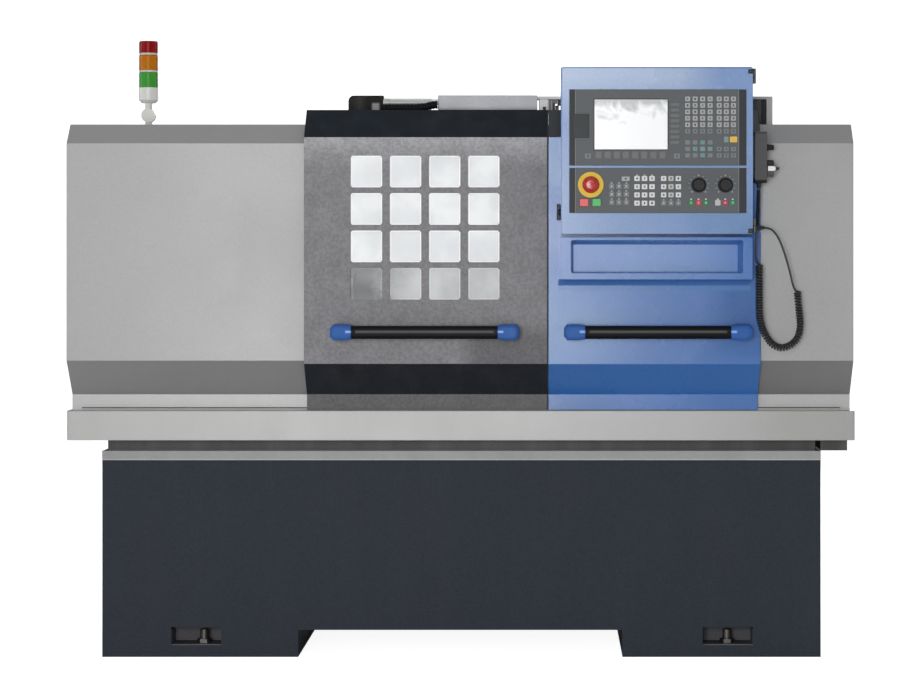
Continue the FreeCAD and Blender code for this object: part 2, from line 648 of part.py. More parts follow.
shaft = Body()
shaft.pad("YZ_Plane", pulley_x - 6, pulley_width + 50, ("circle", motor_y, motor_z, motor_shaft))
node("motor_pulley", fuse(shaft.body, pulley(motor_pulley_r, motor_shaft, pulley_x, motor_y, motor_z)))

# The belt is a closed band that lies a running gap off both pulleys: two arcs and the two straight runs tangent to them.
belt_thick = dimension("belt_thick", 5, "thickness of the drive belt")


def belt_loop(big, small):
    """Outline of a band round two circles, in the plane of the pulleys."""
    dy, dz = float(motor_y + spindle_y), float(motor_z - spindle_z)
    apart = math.hypot(dy, dz)
    lean = math.atan2(dz, dy)
    spread = math.acos((big - small) / apart)
    y0, z0, y1, z1 = -float(spindle_y), float(spindle_z), float(motor_y), float(motor_z)

    def rim(y, z, radius, angle):
        return Vector(0, y + radius * math.cos(angle), z + radius * math.sin(angle))

    a, b = rim(y0, z0, big, lean + spread), rim(y1, z1, small, lean + spread)
    c, d = rim(y1, z1, small, lean - spread), rim(y0, z0, big, lean - spread)
    return Part.Wire([Part.LineSegment(a, b).toShape(), Part.Arc(b, rim(y1, z1, small, lean), c).toShape(),
                      Part.LineSegment(c, d).toShape(), Part.Arc(d, rim(y0, z0, big, lean + math.pi), a).toShape()])


belt = doc.addObject("Part::Feature", "Belt")
inner_loop = belt_loop(float(pulley_r + gap), float(motor_pulley_r + gap))
outer_loop = belt_loop(float(pulley_r + gap + belt_thick), float(motor_pulley_r + gap + belt_thick))
belt_across = Vector(float(pulley_width) - 12, 0, 0)
belt.Shape = Part.Face(outer_loop).extrude(belt_across).cut(Part.Face(inner_loop).extrude(belt_across))
belt.Placement = Placement(Vector(float(pulley_x) + 6, 0, 0), Rotation())
node("drive_belt", belt)

# ---------------------------------------------------------------- carriage, cross slide, turret and feed screw

carriage_x = dimension("carriage_x", 10, "middle of the carriage, right of the middle")
carriage_half = dimension("carriage_half", 100, "half the carriage's length")
saddle_top = dimension("saddle_top", 886, "top of the carriage")
slide_half = dimension("slide_half", 72, "half the cross slide's length along the bed")
slide_top = dimension("slide_top", 932, "top of the cross slide")
dovetail = dimension("dovetail", 14, "height of the dovetail between carriage and cross slide")
dove_half = dimension("dovetail_half", 44, "half the dovetail's width at its foot")
screw_y = dimension("feed_screw_y", 179, "feed screw's axis, ahead of the middle")
screw_z = dimension("feed_screw_z", 762, "feed screw's axis above the floor")
screw_r = dimension("feed_screw_radius", 16, "radius of the feed screw")
saddle_y0 = dimension("saddle_front", 236, "carriage's front, ahead of the middle")
saddle_y1 = dimension("saddle_back", 165, "carriage's back, behind the middle")

saddle = Body()
saddle.pad("YZ_Plane", carriage_x - carriage_half, 2 * carriage_half,
           saddle_outline(-saddle_y0, saddle_y1, 10, saddle_top, gap))
saddle.pad("XZ_Plane", -saddle_y0, saddle_y0 + saddle_y1,
           [(carriage_x - dove_half, saddle_top), (carriage_x + dove_half, saddle_top),
            (carriage_x + dove_half + dovetail / 2, saddle_top + dovetail),
            (carriage_x - dove_half - dovetail / 2, saddle_top + dovetail)])
apron = box((carriage_x - 60, -screw_y - 34, screw_z - 34), (carriage_x + 60, -screw_y + 26, bed_top - 10))
nut_hole = rod(screw_r + fit, 140, (carriage_x - 70, -screw_y, screw_z), "x")

cross_servo = dimension("cross_servo", 40, "half width of the cross slide's servo motor")
servo_z = saddle_top - 34
servo_body = box((carriage_x - cross_servo, saddle_y1, servo_z - cross_servo + 10),
                 (carriage_x + cross_servo, guard_y - sheet_metal - 12, servo_z + cross_servo))
node("carriage_saddle", group(cut(fuse(saddle.body, apron), nut_hole), servo_body))

slide_y0 = dimension("slide_front", 214, "cross slide's front, ahead of the middle")
slide_y1 = dimension("slide_back", 20, "cross slide's back, behind the middle")
cross = Body()
cross.pad("XZ_Plane", -slide_y0, slide_y0 + slide_y1,
          [(carriage_x - slide_half, saddle_top + gap), (carriage_x - dove_half - gap, saddle_top + gap),
           (carriage_x - dove_half - dovetail / 2 - gap, saddle_top + dovetail + gap),
           (carriage_x + dove_half + dovetail / 2 + gap, saddle_top + dovetail + gap),
           (carriage_x + dove_half + gap, saddle_top + gap), (carriage_x + slide_half, saddle_top + gap),
           (carriage_x + slide_half, slide_top), (carriage_x - slide_half, slide_top)])
turret_y = dimension("turret_y", 130, "turret's axis, ahead of the middle")
turret_base = dimension("turret_base", 62, "radius of the turret's indexing base")
base_drum = rod(turret_base, 20, (carriage_x, -turret_y, slide_top), "z")
node("cross_slide", fuse(cross.body, base_drum))

turret_half = dimension("turret_half", 64, "half the square turret's side")
turret_top = dimension("turret_top", 1040, "top of the turret")
tool_size = dimension("tool_size", 20, "side of a tool shank")
tool_out = dimension("tool_out", 26, "how far a tool stands out of the turret")
turret_low = slide_top + 20 + gap
head = Body()
head.pad("XY_Plane", turret_low, turret_top - turret_low,
         ("rounded", (-turret_half, -turret_half), (turret_half, turret_half), 8))
for role, side in (("XZ_Plane", -1), ("XZ_Plane", 1), ("YZ_Plane", -1), ("YZ_Plane", 1)):
    start = -turret_half - 1 if side < 0 else turret_half - tool_size - 6
    slot_bottom = spindle_z - tool_size
    head.pocket(role, start, tool_size + 7, [(-turret_half - 2, slot_bottom), (turret_half + 2, slot_bottom),
                                             (turret_half + 2, spindle_z + 2), (-turret_half - 2, spindle_z + 2)])
tools = []
for i in range(4):
    shank = Body()
    shank.pad("XZ_Plane", turret_half - tool_size - 5.8, tool_size,
              [(-turret_half + 12, spindle_z - tool_size + 0.2), (turret_half + tool_out, spindle_z - tool_size + 0.2),
               (turret_half + tool_out - 6, spindle_z), (-turret_half + 12, spindle_z)])
    shank.body.Placement = Placement(Vector(0, 0, 0), Rotation(Vector(0, 0, 1), 90 * i))
    tools.append(shank.body)
turret = fuse(head.body, rod(22, 26, (0, 0, turret_top), "z"))
put(turret, carriage_x, -turret_y, 0)
node("tool_turret", turret)
node("cutting_tools", put(group(*tools), carriage_x, -turret_y, 0))

screw_left = dimension("feed_screw_left", 880, "feed screw's left end, left of the middle")
screw_right = bed_right + 30
node("feed_screw", rod(screw_r, screw_left + screw_right, (-screw_left, -screw_y, screw_z), "x"))
blocks = []
for x0, deep in ((-screw_left + 4, 36), (bed_right - 40, 40)):
    block = Body()
    block.pad("YZ_Plane", x0, deep,
              [(-screw_y - 30, screw_z - 34), (-bed_front + web - seat, screw_z - 34), (-bed_front + web - seat, under_way - 22 - seat),
               (-bed_front - seat, under_way - seat), (-bed_front - seat, screw_z + 28), (-screw_y - 30, screw_z + 28)])
    blocks.append(cut(block.body, rod(screw_r + fit, 2 * deep, (x0 - 8, -screw_y, screw_z), "x")))
servo_box = box((bed_right + 0.5, -screw_y - 45, screw_z - 45), (bed_right + 150, -screw_y + 45, screw_z + 45))
servo_foot = box((bed_right + 0.5, -screw_y - 45, bed_floor), (bed_right + 20, -screw_y + 45, screw_z - 40))
servo = cut(fuse(servo_box, servo_foot), rod(screw_r + fit, 32, (bed_right - 0.5, -screw_y, screw_z), "x"))
node("feed_servo", group(servo, *blocks))

# ---------------------------------------------------------------- tailstock

tail_x = dimension("tail_x", 520, "tailstock's left face, right of the middle")
tail_length = dimension("tail_length", 200, "tailstock's length")
quill_r = dimension("quill_radius", 28, "radius of the quill")
barrel_r = dimension("barrel_radius", 46, "radius of the tailstock's barrel")
quill_out = dimension("quill_out", 48, "how far the quill stands out at rest")
tail_base = Body()
tail_base.pad("YZ_Plane", tail_x + 10, tail_length - 20,
              saddle_outline(-bed_front - 12, bed_back + 8, 6, bed_top + 60, gap))
tail_neck = Body()
tail_neck.pad("YZ_Plane", tail_x + 20, tail_length - 40,
              [(-spindle_y - 80, bed_top + 60), (-spindle_y + 80, bed_top + 60), (-spindle_y + 34, spindle_z),
               (-spindle_y - 34, spindle_z)])
barrel = rod(barrel_r, tail_length, (tail_x, -spindle_y, spindle_z), "x")
quill_hole = rod(quill_r + fit, tail_length + 20, (tail_x - 10, -spindle_y, spindle_z), "x")
node("tailstock_body", cut(fuse(tail_base.body, tail_neck.body, barrel), quill_hole))
quill = Body()
quill.turned([(0, -24), (0.5, -24), (12, 6), (quill_r - 3, 6), (quill_r, 9), (quill_r, quill_out + 150), (0, quill_out + 150)])
quill.at(tail_x - quill_out, -spindle_y, spindle_z, "x")
node("tailstock_quill", quill.body)
wheel_r = dimension("tail_wheel_radius", 70, "radius of the tailstock's handwheel")
wheel_x = tail_x + tail_length + gap
wheel = Body()
wheel.turned([(0, 0), (quill_r, 0), (quill_r, 10), (wheel_r - 14, 14), (wheel_r - 10, 6), (wheel_r, 6), (wheel_r, 26),
              (wheel_r - 10, 26), (wheel_r - 14, 20), (18, 22), (0, 22)])
wheel.at(wheel_x, -spindle_y, spindle_z, "x")
crank = rod(7, 40, (wheel_x + 18, -spindle_y, spindle_z + wheel_r - 10), "x")
node("tailstock_handwheel", fuse(wheel.body, crank))

# ---------------------------------------------------------------- top beam, rails and what lies on the roof

beam_y0 = dimension("beam_front", 345, "top beam's front, ahead of the middle")
beam_y1 = dimension("beam_back", 225, "top beam's back, ahead of the middle")
beam_deep = dimension("beam_deep", 85, "height of the top beam")
beam = Body()
beam.pad("YZ_Plane", -cab_left_inner + seat, cab_left_inner + cab_right_inner - 2 * seat,
         [(-beam_y0, cab_top - beam_deep), (-beam_y1, cab_top - beam_deep), (-beam_y1, cab_top), (-beam_y0, cab_top)],
         [(-beam_y0 + 4, cab_top - beam_deep + 4), (-beam_y1 - 4, cab_top - beam_deep + 4), (-beam_y1 - 4, cab_top - 4),
          (-beam_y0 + 4, cab_top - 4)])
node("top_beam", beam.body)

rail_end = dimension("rail_end", 1060, "end of both door rails, out from the middle")
top_rail_y = dimension("top_rail_y", 315, "upper door rail's middle, ahead of the middle")
top_rail_wide = dimension("top_rail_wide", 30, "width of the upper door rail")
top_rail_high = dimension("top_rail_high", 5, "height of the upper door rail")
low_rail_y = dimension("low_rail_y", 435, "lower door rail's front, ahead of the middle")
low_rail_thick = dimension("low_rail_thick", 6, "thickness of the lower door rail")
low_rail_high = dimension("low_rail_high", 9, "height of the lower door rail")
upper_rail = box((-rail_end, -top_rail_y - top_rail_wide / 2, cab_top),
                 (rail_end, -top_rail_y + top_rail_wide / 2, cab_top + top_rail_high))
lower_rail = box((-rail_end, -low_rail_y, tray_top), (rail_end, -low_rail_y + low_rail_thick, tray_top + low_rail_high))
node("door_rails", group(upper_rail, lower_rail))

duct_y0 = dimension("duct_front", 282, "cable duct's front, ahead of the middle")
duct_y1 = dimension("duct_back", 232, "cable duct's back, ahead of the middle")
duct_top = dimension("duct_top", 1585, "top of the cable duct")
duct_right = dimension("duct_right", 885, "cable duct's right end")
cover_left = dimension("cover_left", -71, "duct cover's left end")
cover_right = dimension("cover_right", 213, "duct cover's right end")
cover_low = dimension("cover_low", 1546, "bottom of the duct cover")
duct_plate = box((cover_left + 2, -duct_y0, duct_top - 9), (duct_right, -duct_y1, duct_top - 1))
duct_leg = box((duct_right - 17, -duct_y0, cab_top), (duct_right, -duct_y1, duct_top - 9))
post_wide = dimension("post_wide", 22, "width of the duct's posts")
post_places = (cover_left + 30, dimension("post_middle", 330, "duct's middle post"), dimension("post_right", 590, "duct's right post"))
duct_posts = [box((x, -duct_y0 + 8, cab_top), (x + post_wide, -duct_y1 - 8, duct_top - 9)) for x in post_places]
duct = fuse(duct_plate, duct_leg, *duct_posts)
cover = Body()
cover.pad("YZ_Plane", cover_left, cover_right - cover_left,
          [(-duct_y0 - 6, cover_low), (-duct_y0 - 0.5, cover_low), (-duct_y0 - 0.5, duct_top - 0.8), (-duct_y1 + 0.5, duct_top - 0.8),
           (-duct_y1 + 0.5, cover_low), (-duct_y1 + 6, cover_low), (-duct_y1 + 6, cover_low + 4), (-duct_y1 + 3, cover_low + 5),
           (-duct_y1 + 3, duct_top + 2), (-duct_y0 - 3, duct_top + 2), (-duct_y0 - 3, cover_low + 5), (-duct_y0 - 6, cover_low + 4)])
node("duct_cover", cover.body)
block_left = dimension("block_left", -327, "left face of the cable block")
block_right = dimension("block_right", -227, "right face of the cable block")
block_round = dimension("block_round", 16, "rounding of the cable block's upper left edge")
block_front = duct_y0 - 5
gland_box = box((block_left, -block_front, cab_top), (block_right, -duct_y1 + 3, duct_top + 2))
gland_body = doc.addObject("Part::Fillet", fresh("Rounded"))
gland_body.Base = gland_box
doc.recompute()
gland_edges = [i for i, e in enumerate(gland_box.Shape.Edges, 1)
               if runs_along(e, "y") and middle(e).z > float(duct_top) and middle(e).x < float(block_left) + 1]
gland_body.Edges = [(i, float(block_round), float(block_round)) for i in gland_edges]
node("cable_gland_block", gland_body)
tie_low = duct_top - 24
tie_high = dimension("tie_high", 18, "height of the tie bar between the cable block and the duct")
tie_start = block_right + seat
plug_x = cover_left - tie_high
tie_bar = box((tie_start, -duct_y0 + 12, tie_low), (plug_x, -duct_y1 - 14, tie_low + tie_high))
tie_foot = box((tie_start, -duct_y0 + 12, cab_top), (tie_start + tie_high, -duct_y1 - 14, tie_low))
plug_end = box((plug_x, -duct_y0 + 14, tie_low + 1), (cover_left - seat, -duct_y1 - 16, tie_low + tie_high - 1))
hose_r = dimension("hose_radius", 6, "radius of the hose beside the tie bar")
hose_y = duct_y0 + 1
hose_z = tie_low + hose_r
hose = fuse(rod(hose_r, cover_left - block_right - 2 * seat, (tie_start, -hose_y, hose_z), "x"),
            rod(hose_r + 3, 16, (tie_start, -hose_y, hose_z), "x"),
            rod(hose_r + 2, 22, (cover_left - seat - 22, -hose_y, hose_z), "x"))
chain_left = dimension("chain_left", 640, "left end of the cable chain in the duct")
link_length = dimension("link_length", 44, "pitch of the cable chain's links")
links = []
for i in range(5):
    link_x = chain_left + i * link_length
    links.append(box((link_x, -duct_y0 + 7, cab_top), (link_x + link_length - 6, -duct_y1 - 7, duct_top - 9 - seat)))
    if i < 4:
        links.append(box((link_x + link_length - 6, -duct_y0 + 11, cab_top + 5), (link_x + link_length, -duct_y1 - 11, duct_top - 20)))
node("cable_duct", group(duct, fuse(tie_bar, tie_foot, plug_end), hose, fuse(*links)))

# ---------------------------------------------------------------- sliding doors

door_sheet = dimension("door_sheet", 2.5, "sheet of the doors")
door_skirt = dimension("door_skirt", 440, "skirt of the doors, ahead of the middle")
door_face = dimension("door_face", 528, "face of the doors, ahead of the middle")
door_low = dimension("door_low", 698, "bottom edge of the doors")
door_skirt_top = dimension("door_skirt_top", 742, "top of the doors' upright skirt")
door_slope_top = dimension("door_slope_top", 830, "top of the doors' lower slope")
door_chamfer = dimension("door_chamfer", 1457, "bottom of the doors' top slope")
door_top = dimension("door_top", 1536, "top of the doors")
door_roof_front = dimension("door_roof_front", 448, "front edge of the doors' top flange, ahead of the middle")
door_roof_back = dimension("door_roof_back", 292, "back edge of the doors' top flange, ahead of the middle")
left_door_x0 = dimension("left_door_left", -430, "left door's left edge")
left_door_x1 = dimension("left_door_right", 240.6, "left door's right edge")
right_door_x0 = dimension("right_door_left", 244.7, "right door's left edge")
right_door_x1 = dimension("right_door_right", 829.6, "right door's right edge")


def bent_door(x0, x1):
    """A door bent from one sheet: skirt, slope, face, top slope and a flange that reaches back over the rail."""
    skin = Body()
    t = door_sheet
    outer = [(-door_skirt, door_low), (-door_skirt, door_skirt_top), (-door_face, door_slope_top), (-door_face, door_chamfer),
             (-door_roof_front, door_top), (-door_roof_back, door_top)]
    inner = [(-door_roof_back, door_top - t), (-door_roof_front + t / 2, door_top - t), (-door_face + t, door_chamfer - t / 2),
             (-door_face + t, door_slope_top + t / 2), (-door_skirt + t, door_skirt_top + t / 2), (-door_skirt + t, door_low)]
    skin.pad("YZ_Plane", x0, x1 - x0, outer + inner)
    for edge_x in (x0, x1 - 12):
        skin.pad("YZ_Plane", edge_x, 12,
                 [(-door_face + 1, door_slope_top), (-door_face + 10, door_slope_top + 4), (-door_face + 10, door_chamfer - 4),
                  (-door_face + 1, door_chamfer)])
    return skin


def door_glides(x0, x1):
    """Nylon shoes: two straddle the upper rail, two hook over the lower one behind the skirt."""
    shoes = []
    for x in (x0 + 40, x1 - 100):
        rail_front, rail_back = -top_rail_y - top_rail_wide / 2, -top_rail_y + top_rail_wide / 2
        upper = Body()
        upper.pad("YZ_Plane", x, 60,
                  [(rail_front - 12, cab_top + 1), (rail_front - gap, cab_top + 1), (rail_front - gap, cab_top + top_rail_high + gap),
                   (rail_back + gap, cab_top + top_rail_high + gap), (rail_back + gap, cab_top + 1), (rail_back + 7, cab_top + 1),
                   (rail_back + 7, door_top - door_sheet), (rail_front - 12, door_top - door_sheet)])
        lower = Body()
        skirt_inside = -door_skirt + door_sheet
        rail_top = tray_top + low_rail_high
        lower.pad("YZ_Plane", x, 60,
                  [(skirt_inside, door_low), (-low_rail_y - gap, door_low), (-low_rail_y - gap, rail_top + gap),
                   (-cab_skirt - 2, rail_top + gap), (-cab_skirt - 2, rail_top + 14), (skirt_inside, rail_top + 14)])
        shoes += [upper.body, lower.body]
    return shoes


pane = dimension("pane", 87.5, "side of a window pane")
pane_pitch_x = dimension("pane_pitch_x", 107.9, "pitch of the panes across")
pane_pitch_z = dimension("pane_pitch_z", 103.2, "pitch of the panes up the door")
pane_left = dimension("pane_left", -301.8, "left edge of the first pane")
pane_low = dimension("pane_low", 1008, "bottom edge of the lowest panes")
pane_corner = dimension("pane_corner", 5, "cut corner of a pane")
pane_columns = dimension("pane_columns", 4, "panes across")
pane_rows = dimension("pane_rows", 4, "panes up")
left_door = bent_door(left_door_x0, left_door_x1)
left_door.pocket("XZ_Plane", -door_face - 1, door_sheet + 2,
                 [(pane_left + pane_corner, pane_low), (pane_left + pane - pane_corner, pane_low),
                  (pane_left + pane, pane_low + pane_corner), (pane_left + pane, pane_low + pane - pane_corner),
                  (pane_left + pane - pane_corner, pane_low + pane), (pane_left + pane_corner, pane_low + pane),
                  (pane_left, pane_low + pane - pane_corner), (pane_left, pane_low + pane_corner)])
left_door.grid((pane_columns, pane_pitch_x), (pane_rows, pane_pitch_z))
node("left_door", group(left_door.body, *door_glides(left_door_x0, left_door_x1)))
glass = dimension("glass_thick", 6, "thickness of the window glass")
glass_edge = dimension("glass_edge", 20, "how far the glass laps past the outer panes")
window = box((pane_left - glass_edge, -door_face + door_sheet + seat, pane_low - glass_edge),
             (pane_left + (pane_columns - 1) * pane_pitch_x + pane + glass_edge, -door_face + door_sheet + glass,
              pane_low + (pane_rows - 1) * pane_pitch_z + pane + glass_edge))
node("window_glass", window)
right_door = bent_door(right_door_x0, right_door_x1)
node("right_door", group(right_door.body, *door_glides(right_door_x0, right_door_x1)))

grip_z = dimension("grip_z", 919, "height of the door handles")
grip_y = dimension("grip_y", 575, "door handles' axis, ahead of the middle")
grip_deep = dimension("grip_deep", 26, "depth of a handle's oval bar")
grip_tall = dimension("grip_tall", 36, "height of a handle's oval bar")
grip_cap = dimension("grip_cap", 58, "length of a handle's end bracket")
grip_high = dimension("grip_high", 43, "height of a handle's end bracket")
grip_socket = dimension("grip_socket", 26, "how far a handle's bar reaches into its brackets")
grip_bevel = dimension("grip_bevel", 7, "bevel round the front of a handle's bracket")
left_grip_x0 = dimension("left_grip_left", -354, "left handle's left end")
left_grip_x1 = dimension("left_grip_right", 164, "left handle's right end")
right_grip_x0 = dimension("right_grip_left", 287, "right handle's left end")
right_grip_x1 = dimension("right_grip_right", 803, "right handle's right end")


def oval_bar(x0, length, room):
    """The handle's oval section, drawn larger by a clearance and run along X."""
    bar = Body()
    bar.pad("YZ_Plane", x0, length,
            ("rounded", (-grip_y - grip_deep / 2 - room, grip_z - grip_tall / 2 - room),
             (-grip_y + grip_deep / 2 + room, grip_z + grip_tall / 2 + room), 11))
    return bar.body


def door_handle(side, x0, x1):
    """An oval bar in the sockets of two moulded brackets, which are bolted to the door's face from behind."""
    front = -grip_y - grip_deep / 2 - 3
    half, slim = grip_high / 2, grip_tall / 2 + 1
    pieces = []
    for outer, inner, inwards in ((x0, x0 + grip_cap, 1), (x1, x1 - grip_cap, -1)):
        bracket = Body()
        bracket.pad("XZ_Plane", front, -door_face - seat - front,
                    [(outer, grip_z - half / 2), (outer + 9 * inwards, grip_z - half), (outer + 38 * inwards, grip_z - half),
                     (inner, grip_z - slim), (inner, grip_z + slim), (outer + 38 * inwards, grip_z + half),
                     (outer + 9 * inwards, grip_z + half), (outer, grip_z + half / 2)])
        bracket.soften("Chamfer", grip_bevel, lambda e: abs(middle(e).y - float(front)) < 0.1
                       and abs(middle(e).x - float(inner)) > 1)
        start = inner - grip_socket if inwards > 0 else inner - 1
        pieces.append(cut(bracket.body, oval_bar(start, grip_socket + 1, 0.05)))
    bar_left = x0 + grip_cap - grip_socket + 1
    pieces.append(oval_bar(bar_left, x1 - x0 - 2 * (grip_cap - grip_socket + 1), 0))
    node(f"{side}_door_handle", group(*pieces))


door_handle("left", left_grip_x0, left_grip_x1)
door_handle("right", right_grip_x0, right_grip_x1)

# ---------------------------------------------------------------- operator box with its hinged panel

box_x0 = dimension("box_left", 278.7, "operator box's left side")
box_x1 = dimension("box_right", 802, "operator box's right side")
box_low = dimension("box_low", 1188.4, "operator box's underside")
box_high = dimension("box_high", 1643.7, "operator box's top")
panel_front = dimension("panel_front", 610, "operator panel's face, ahead of the middle")
panel_back = dimension("panel_back", 586, "operator panel's back edge, ahead of the middle")
box_wall = dimension("box_wall", 2.5, "sheet of the operator box")
box_back = dimension("box_back", 430, "back of the operator box above the door, ahead of the middle")
box_front = panel_back - gap


def box_profile(inset):
    """Side view of the box: flat behind the door's face, over its top slope, and upright again above it."""
    off = inset + 0.5
    return [(-box_front, box_low + inset), (-door_face - off, box_low + inset), (-door_face - off, door_chamfer + off / 2),
            (-door_roof_front - off / 2, door_top + off), (-box_back - inset, door_top + off),
            (-box_back - inset, box_high - inset), (-box_front, box_high - inset)]


case = Body()
case.pad("YZ_Plane", box_x0, box_x1 - box_x0, box_profile(0))
room = box_profile(box_wall)
room[0] = (-box_front - 1, room[0][1])
room[-1] = (-box_front - 1, room[-1][1])
case.pocket("YZ_Plane", box_x0 + box_wall, box_x1 - box_x0 - 2 * box_wall, room)
hinge_x = box_x1 + 4.8
hinge_y = dimension("hinge_y", 598, "operator panel's hinge axis, ahead of the middle")
hinge_pin = dimension("hinge_pin", 2.5, "radius of the hinge pins")
knuckle = dimension("knuckle", 4.5, "radius of the hinge knuckles")
knuckle_high = dimension("knuckle_high", 20, "height of one hinge knuckle")
hinge_levels = (box_low + 3, box_high - 2 * knuckle_high - 4)
case_hinges = []
panel_hinges = []
for level in hinge_levels:
    leaf = box((box_x1 - 0.1, -hinge_y, level), (box_x1 + 2, -hinge_y + 42, level + knuckle_high))
    leaf_cut = cut(leaf, box((box_x1 - 1, -hinge_y - 1, level - 1), (box_x1 + 3, -box_front, level + knuckle_high + 1)))
    link = fuse(leaf_cut, box((box_x1 + 0.5, -box_front, level), (hinge_x + 3, -box_front + 4, level + knuckle_high)),
                box((hinge_x, -hinge_y, level), (hinge_x + 3, -box_front + 4, level + knuckle_high)),
                rod(knuckle, knuckle_high, (hinge_x, -hinge_y, level), "z"))
    pin = rod(hinge_pin, 2 * knuckle_high + gap, (hinge_x, -hinge_y, level), "z")
    case_hinges.append(fuse(link, pin))
    upper = level + knuckle_high + gap
    wing = box((box_x1 - 0.1, -hinge_y - 8, upper), (box_x1 + 2, -hinge_y + 8, upper + knuckle_high))
    eye = rod(knuckle, knuckle_high, (hinge_x, -hinge_y, upper), "z")
    bore = rod(hinge_pin + fit, knuckle_high + 2, (hinge_x, -hinge_y, upper - 1), "z")
    panel_hinges.append(cut(fuse(wing, eye), bore))
cord_y = dimension("cord_y", 562, "plane that the cord hangs in, ahead of the middle")
hand_z0 = dimension("handheld_low", 1329, "handheld unit's bottom")
hand_z1 = dimension("handheld_high", 1469, "handheld unit's top")
hand_x0 = dimension("handheld_left", 809, "handheld unit's back, right of the middle")
holder = box((box_x1 - 0.1, -cord_y - 20, hand_z0 + 16), (hand_x0 - gap, -cord_y + 26, hand_z1 - 14))
gland_z = dimension("gland_z", 1206, "height of the cord's gland")
gland_end = dimension("gland_end", 836, "end of the cord's gland, right of the middle")
gland_y = dimension("gland_y", 576, "cord's gland on the box's side, ahead of the middle")
gland = fuse(rod(8, 12, (box_x1 - 0.1, -gland_y, gland_z), "x"),
             cone(7, 4.5, gland_end - box_x1 - 12 + 0.1, (box_x1 + 12 - 0.1, -gland_y, gland_z), "x"))
node("operator_box", fuse(case.body, *case_hinges, holder, gland))

unit_x0 = dimension("unit_left", 301.8, "left edge of both unit openings")
unit_x1 = dimension("unit_right", 784.2, "right edge of both unit openings")
upper_z0 = dimension("upper_unit_low", 1375.1, "bottom of the display unit's opening")
upper_z1 = dimension("upper_unit_high", 1582.3, "top of the display unit's opening")
lower_z0 = dimension("lower_unit_low", 1245.7, "bottom of the switch unit's opening")
lower_z1 = dimension("lower_unit_high", 1368.3, "top of the switch unit's opening")
panel_corner = dimension("panel_corner", 6, "corner radius of the operator panel")
panel = Body()
panel.pad("XZ_Plane", -panel_front, panel_front - panel_back,
          ("rounded", (box_x0, box_low), (box_x1, box_high), panel_corner))
panel.pocket("XZ_Plane", -panel_front + box_wall, panel_front - panel_back,
             ("rounded", (box_x0 + box_wall, box_low + box_wall), (box_x1 - box_wall, box_high - box_wall), 4))
panel.pocket("XZ_Plane", -panel_front - 1, box_wall + 2,
             [(unit_x0, upper_z0), (unit_x1, upper_z0), (unit_x1, upper_z1), (unit_x0, upper_z1)])
panel.pocket("XZ_Plane", -panel_front - 1, box_wall + 2,
             [(unit_x0, lower_z0), (unit_x1, lower_z0), (unit_x1, lower_z1), (unit_x0, lower_z1)])
node("operator_panel", fuse(panel.body, *panel_hinges))

bezel_front = panel_front + 2
screen_x0, screen_x1 = dimension("screen_left", 370, "screen's left edge"), dimension("screen_right", 569, "screen's right edge")
screen_z0, screen_z1 = dimension("screen_low", 1419, "screen's bottom edge"), dimension("screen_high", 1555, "screen's top edge")


def unit_bezel(low, high):
    """A front plate in its opening, with wings that clamp behind the panel and a closed housing at the back."""
    plate = box((unit_x0 + 0.3, -bezel_front, low + 0.3), (unit_x1 - 0.3, -panel_front + 6, high - 0.3))
    wings = box((unit_x0 - 8, -panel_front + box_wall + seat, low + 6), (unit_x1 + 8, -panel_front + 6, high - 6))
    housing = box((unit_x0 + 16, -panel_front + 6, low + 14), (unit_x1 - 24, -panel_front + 46, high - 12))
    return fuse(plate, wings, housing)


display_well = box((screen_x0 - seat, -bezel_front - 1, screen_z0 - seat), (screen_x1 + seat, -bezel_front + 2, screen_z1 + seat))
display_unit = cut(unit_bezel(upper_z0, upper_z1), display_well)
node("display_screen", box((screen_x0, -bezel_front + 0.6, screen_z0), (screen_x1, -bezel_front + 2, screen_z1)))

stop_x = dimension("estop_x", 359.6, "emergency stop's middle")
stop_z = dimension("estop_z", 1322.5, "emergency stop's height")
stop_ring = dimension("estop_ring", 34.9, "radius of the emergency stop's collar")
stop_head = dimension("estop_head", 22.9, "radius of the emergency stop's head")
stop_stem = dimension("estop_stem", 11, "radius of the emergency stop's stem")
stop_out = dimension("estop_out", 28, "how far the emergency stop stands out of its plate")
button_z0, button_z1 = dimension("button_low", 1263.6, "bottom of the push buttons"), dimension("button_high", 1284.6, "top of the push buttons")
red_x0 = dimension("red_button_left", 329.6, "red button's left edge")
green_x0 = dimension("green_button_left", 363.4, "green button's left edge")
button_wide = dimension("button_wide", 24, "width of a push button")
dial_z = dimension("dial_z", 1321.7, "height of the override dials")
feed_x = dimension("feed_dial_x", 653.9, "feed dial's middle")
speed_x = dimension("speed_dial_x", 726.7, "speed dial's middle")
dial_r = dimension("dial_radius", 20.4, "radius of an override dial")
dial_shaft = dimension("dial_shaft", 3, "radius of a dial's shaft")

wells = [rod(stop_stem + gap, 30, (stop_x, -bezel_front - 8, stop_z), "y")]
for x in (red_x0, green_x0):
    wells.append(box((x - gap, -bezel_front - 1, button_z0 - gap), (x + button_wide + gap, -bezel_front + 14, button_z1 + gap)))
for x in (feed_x, speed_x):
    wells.append(rod(dial_shaft + fit, 14, (x, -bezel_front - 1, dial_z), "y"))
collar = rod(stop_ring, 5, (stop_x, -bezel_front - 5 + 0.01, stop_z), "y")
switch_unit = cut(fuse(unit_bezel(lower_z0, lower_z1), collar), *wells)
node("control_units", group(display_unit, switch_unit))

